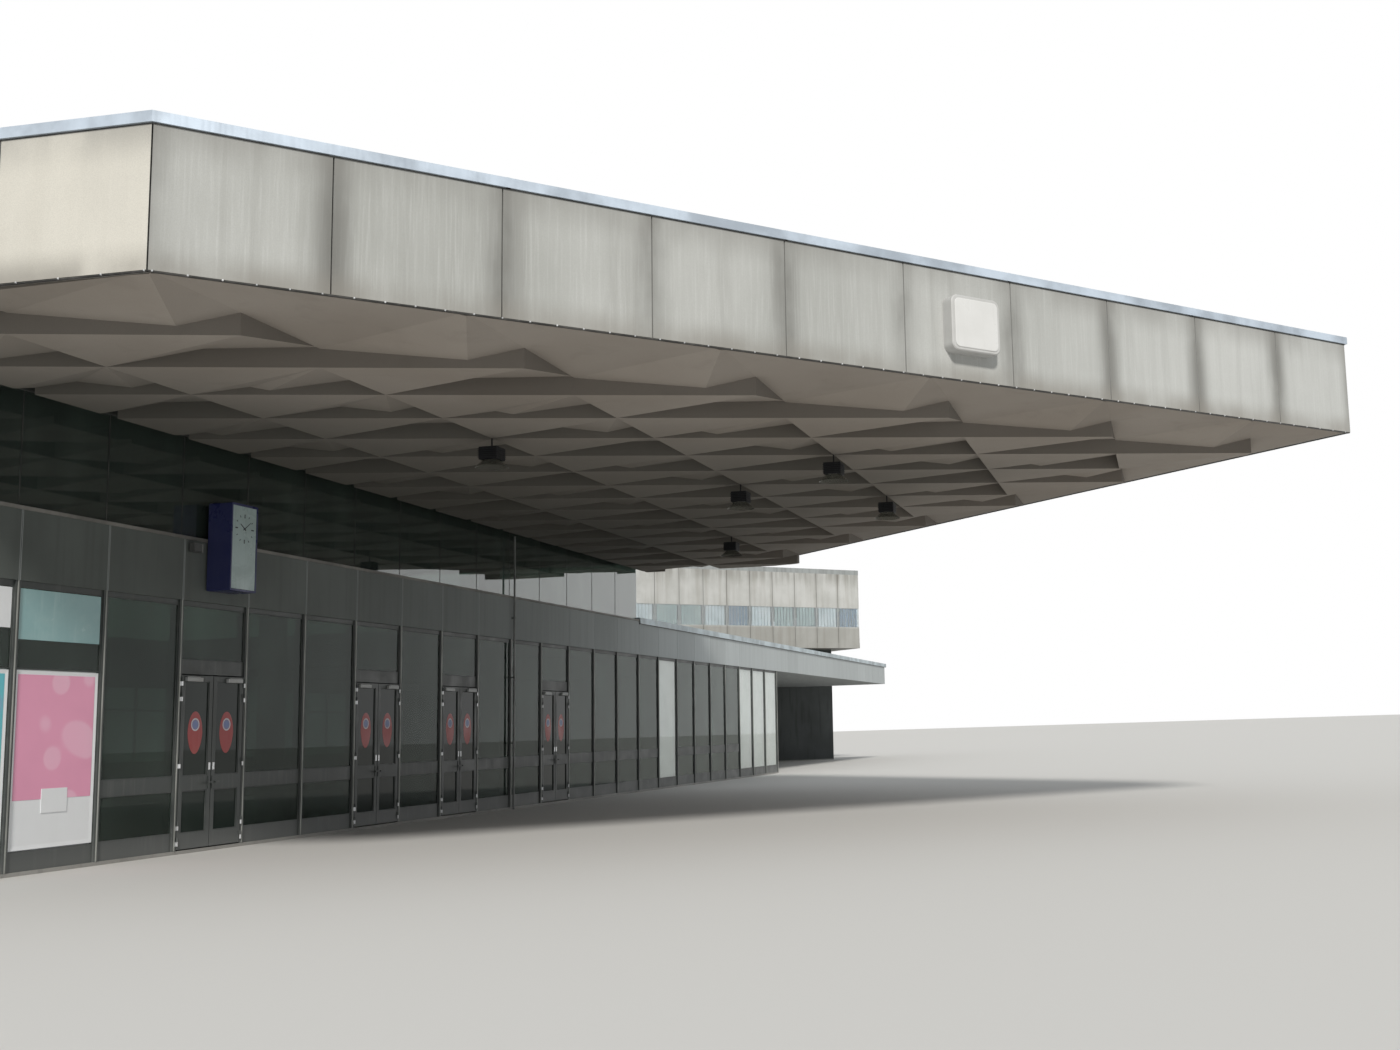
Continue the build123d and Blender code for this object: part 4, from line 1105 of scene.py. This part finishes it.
# Sill whose front edge drops
def makeSills():
    depth, height = sideWindow["sill"]
    sill = startBlock("sill", (sideWindow["width"] - 0.002, depth, height),
                      (0, -sideWindow["sillOff"], sideWindow["low"] + height / 2 - 0.0005))
    shiftFaces(sill, isFront, (0, 0, -0.006))
    return softenEdges(sill, 0.0015)


# Distances of a row of windows from its middle
def windowRow(count):
    return [(n - (count - 1) / 2) * sideWindow["pitch"] for n in range(count)]


leftX, backY = hallLow.x + sideWindow["inset"], wallBackHigh.y - sideWindow["inset"]
leftMiddle, backMiddle = (postHigh.y + wallBackLow.y) / 2, (wallLeftLow.x + wallBackHigh.x) / 2
windowSpots = [((leftX, leftMiddle + step, 0), -pi / 2) for step in windowRow(sideWindow["left"])]
windowSpots += [((backMiddle + step, backY, 0), pi) for step in windowRow(sideWindow["back"])]
finishPiece(layCopies(makeSideFrame(), windowSpots, "sideWindowFrames"), frameBronze)
finishPiece(layCopies(makeSills(), windowSpots, "sideWindowSills"), bandCapMetal)

print("stage 8: office storey")
officeAlong = Vector((-1, 1)).normalized()
officeAcross = Vector((1, 1)).normalized()
longSide = office["long"] * office["pitch"]
shortSide = office["short"] * office["pitch"]
shortPitch = (shortSide - 2 * office["skin"]) / office["short"]


# Middles of the office's window bays on its outer face, with each side's turn and inward direction
def officeBays():
    bays = []
    for n in range(office["long"]):
        along = office["corner"] + officeAlong * (n + 0.5) * office["pitch"]
        bays.append((along, turnOf(-officeAlong), officeAcross))
        bays.append((along + officeAcross * shortSide, turnOf(officeAlong), -officeAcross))
    for n in range(office["short"]):
        across = office["corner"] + officeAcross * (office["skin"] + (n + 0.5) * shortPitch)
        bays.append((across, turnOf(officeAcross), officeAlong))
        bays.append((across + officeAlong * longSide, turnOf(-officeAcross), -officeAlong))
    return bays


def makeOfficeFrames():
    width, height = shortPitch - office["frameGap"], office["high"] - office["low"]
    rim = startRim("frame", width, height, office["frame"], office["depth"], 0.0008)
    spots = []
    for place, turn, inward in officeBays():
        spot = place + inward * (0.0003 + office["depth"] / 2)
        spots.append(((spot.x, spot.y, (office["low"] + office["high"]) / 2), turn))
    return layCopies(rim, spots, "officeFrames")


# Upright slats of the blinds behind the office glass, each a little turned
def makeBlinds(name, wanted):
    slat = startBlock("slat", (*office["slat"], office["high"] - office["low"] - office["frameGap"]))
    bevelEdges(slat, lambda edge: abs((edge.verts[0].co - edge.verts[1].co).z) > 0.1, 0.0006)
    spots = []
    for number, (place, turn, inward) in enumerate(officeBays()):
        if not wanted(number):
            continue
        along = Vector((cos(turn), sin(turn)))
        for k in range(office["slats"]):
            step = ((k + 0.5) / office["slats"] - 0.5) * office["blindWidth"]
            spot = place + inward * office["behind"] + along * step
            middle = (spot.x, spot.y, (office["low"] + office["high"]) / 2)
            spots.append((middle, turn + radians(office["slatTurn"])))
    return layCopies(slat, spots, name)


finishPiece(makeOfficeFrames(), frameGrey)
blindKinds = {"blindsWhite": ((0.86, 0.88, 0.88), lambda n: (n // 2) % 5 in (1, 4)),
              "blindsGreen": ((0.42, 0.50, 0.46), lambda n: (n // 2) % 5 in (2, 3)),
              "blindsBlue": ((0.12, 0.21, 0.31), lambda n: (n // 2) % 5 == 0)}
for name, (colour, wanted) in blindKinds.items():
    paint = makePaint(name + "Cloth", colour, 0.8, tuple(c * 0.7 for c in colour), 0.3)
    finishPiece(makeBlinds(name, wanted), paint)

print("stage 9: roof outlets")
outlets = {"radius": 0.075, "steps": ((0.010, 0.85), (0.010, 0.75), (0.008, 0.6), (0.004, 0.3)),
           "spots": [(-3.8, 1.9), (-0.4, 1.9), (3.2, 1.9), (-3.2, -4.6), (0.0, -7.6), (3.0, -4.6)]}


# Domed leaf guards over the roof's rain outlets
def makeOutlets():
    base = startDisc("outlet", outlets["radius"], 0.008)
    editFaces(base, lambda face: face.normal.z > 0.9)
    for rise, share in outlets["steps"]:
        bpy.ops.mesh.extrude_region_move(TRANSFORM_OT_translate={"value": (0, 0, rise)})
        bpy.ops.transform.resize(value=(share, share, 1))
    leaveEdit()
    spots = [((x, y, edgePanels["top"] + 0.0042), 0) for x, y in outlets["spots"]]
    return layCopies(base, spots, "roofOutlets")


finishPiece(makeOutlets(), lampBlack)

print("stage 10: camera, floor and light")
cameraFit = {"place": (-11.083, -9.053, 0.634), "yaw": 79.618, "pitch": 7.689, "roll": -1.744,
             "focal": 1466.7, "centre": (900.0, 529.4), "frameWidth": 1400, "frameHeight": 1050,
             "sensor": 36.0}


def addCamera():
    yaw, pitch, roll = (radians(cameraFit[k]) for k in ("yaw", "pitch", "roll"))
    forward = Vector((sin(yaw) * cos(pitch), cos(yaw) * cos(pitch), sin(pitch)))
    right = Vector((cos(yaw), -sin(yaw), 0))
    up = right.cross(forward)
    side = right * cos(roll) + up * sin(roll)
    top = up * cos(roll) - right * sin(roll)
    data = bpy.data.cameras.new("photoCamera")
    camera = bpy.data.objects.new("photoCamera", data)
    bpy.context.collection.objects.link(camera)
    turn = Matrix((side, top, -forward)).transposed().to_4x4()
    camera.matrix_world = Matrix.Translation(cameraFit["place"]) @ turn
    data.sensor_width = cameraFit["sensor"]
    width = cameraFit["frameWidth"]
    data.lens = cameraFit["focal"] * cameraFit["sensor"] / width
    data.shift_x = (width / 2 - cameraFit["centre"][0]) / width
    data.shift_y = (cameraFit["centre"][1] - cameraFit["frameHeight"] / 2) / width
    data.clip_end = 500
    bpy.context.scene.camera = camera


def addFloor():
    bpy.ops.object.select_all(action="DESELECT")
    bpy.ops.mesh.primitive_plane_add(size=900, location=(0, 0, -0.0005))
    floor = bpy.context.object
    floor.name = "studioFloor"
    floor.data.materials.append(Look("floorPaint", (0.66, 0.65, 0.63), 0.9, specular=0.1).material)


lights = {"sky": 0.5, "sun": 2.7, "sunFrom": (-0.80, -0.26, 0.54), "sunAngle": 8}


def addLights():
    world = bpy.data.worlds.new("studioWorld")
    bpy.context.scene.world = world
    world.use_nodes = True
    tree = world.node_tree
    tree.nodes.clear()
    lit = addNode(tree, "Background", {"Color": (0.93, 0.97, 1.0, 1), "Strength": lights["sky"]}).outputs[0]
    seen = addNode(tree, "Background", {"Color": (1, 1, 1, 1)}).outputs[0]
    path = addNode(tree, "LightPath").outputs
    visible = path["Is Camera Ray"]
    for ray in ("Is Glossy Ray", "Is Transmission Ray"):
        visible = addNode(tree, "Math", {0: visible, 1: path[ray]}, operation="MAXIMUM").outputs[0]
    mixed = addNode(tree, "MixShader", {0: visible, 1: lit, 2: seen})
    addNode(tree, "OutputWorld", {"Surface": mixed.outputs[0]})
    data = bpy.data.lights.new("sun", "SUN")
    data.energy = lights["sun"]
    data.angle = radians(lights["sunAngle"])
    data.color = (1.0, 0.97, 0.92)
    sun = bpy.data.objects.new("sun", data)
    bpy.context.collection.objects.link(sun)
    sun.rotation_mode = "QUATERNION"
    sun.rotation_quaternion = Vector(lights["sunFrom"]).to_track_quat("Z", "Y")


addCamera()
addFloor()
addLights()
bpy.context.scene.view_settings.view_transform = "Standard"

print("stage 11: finish")
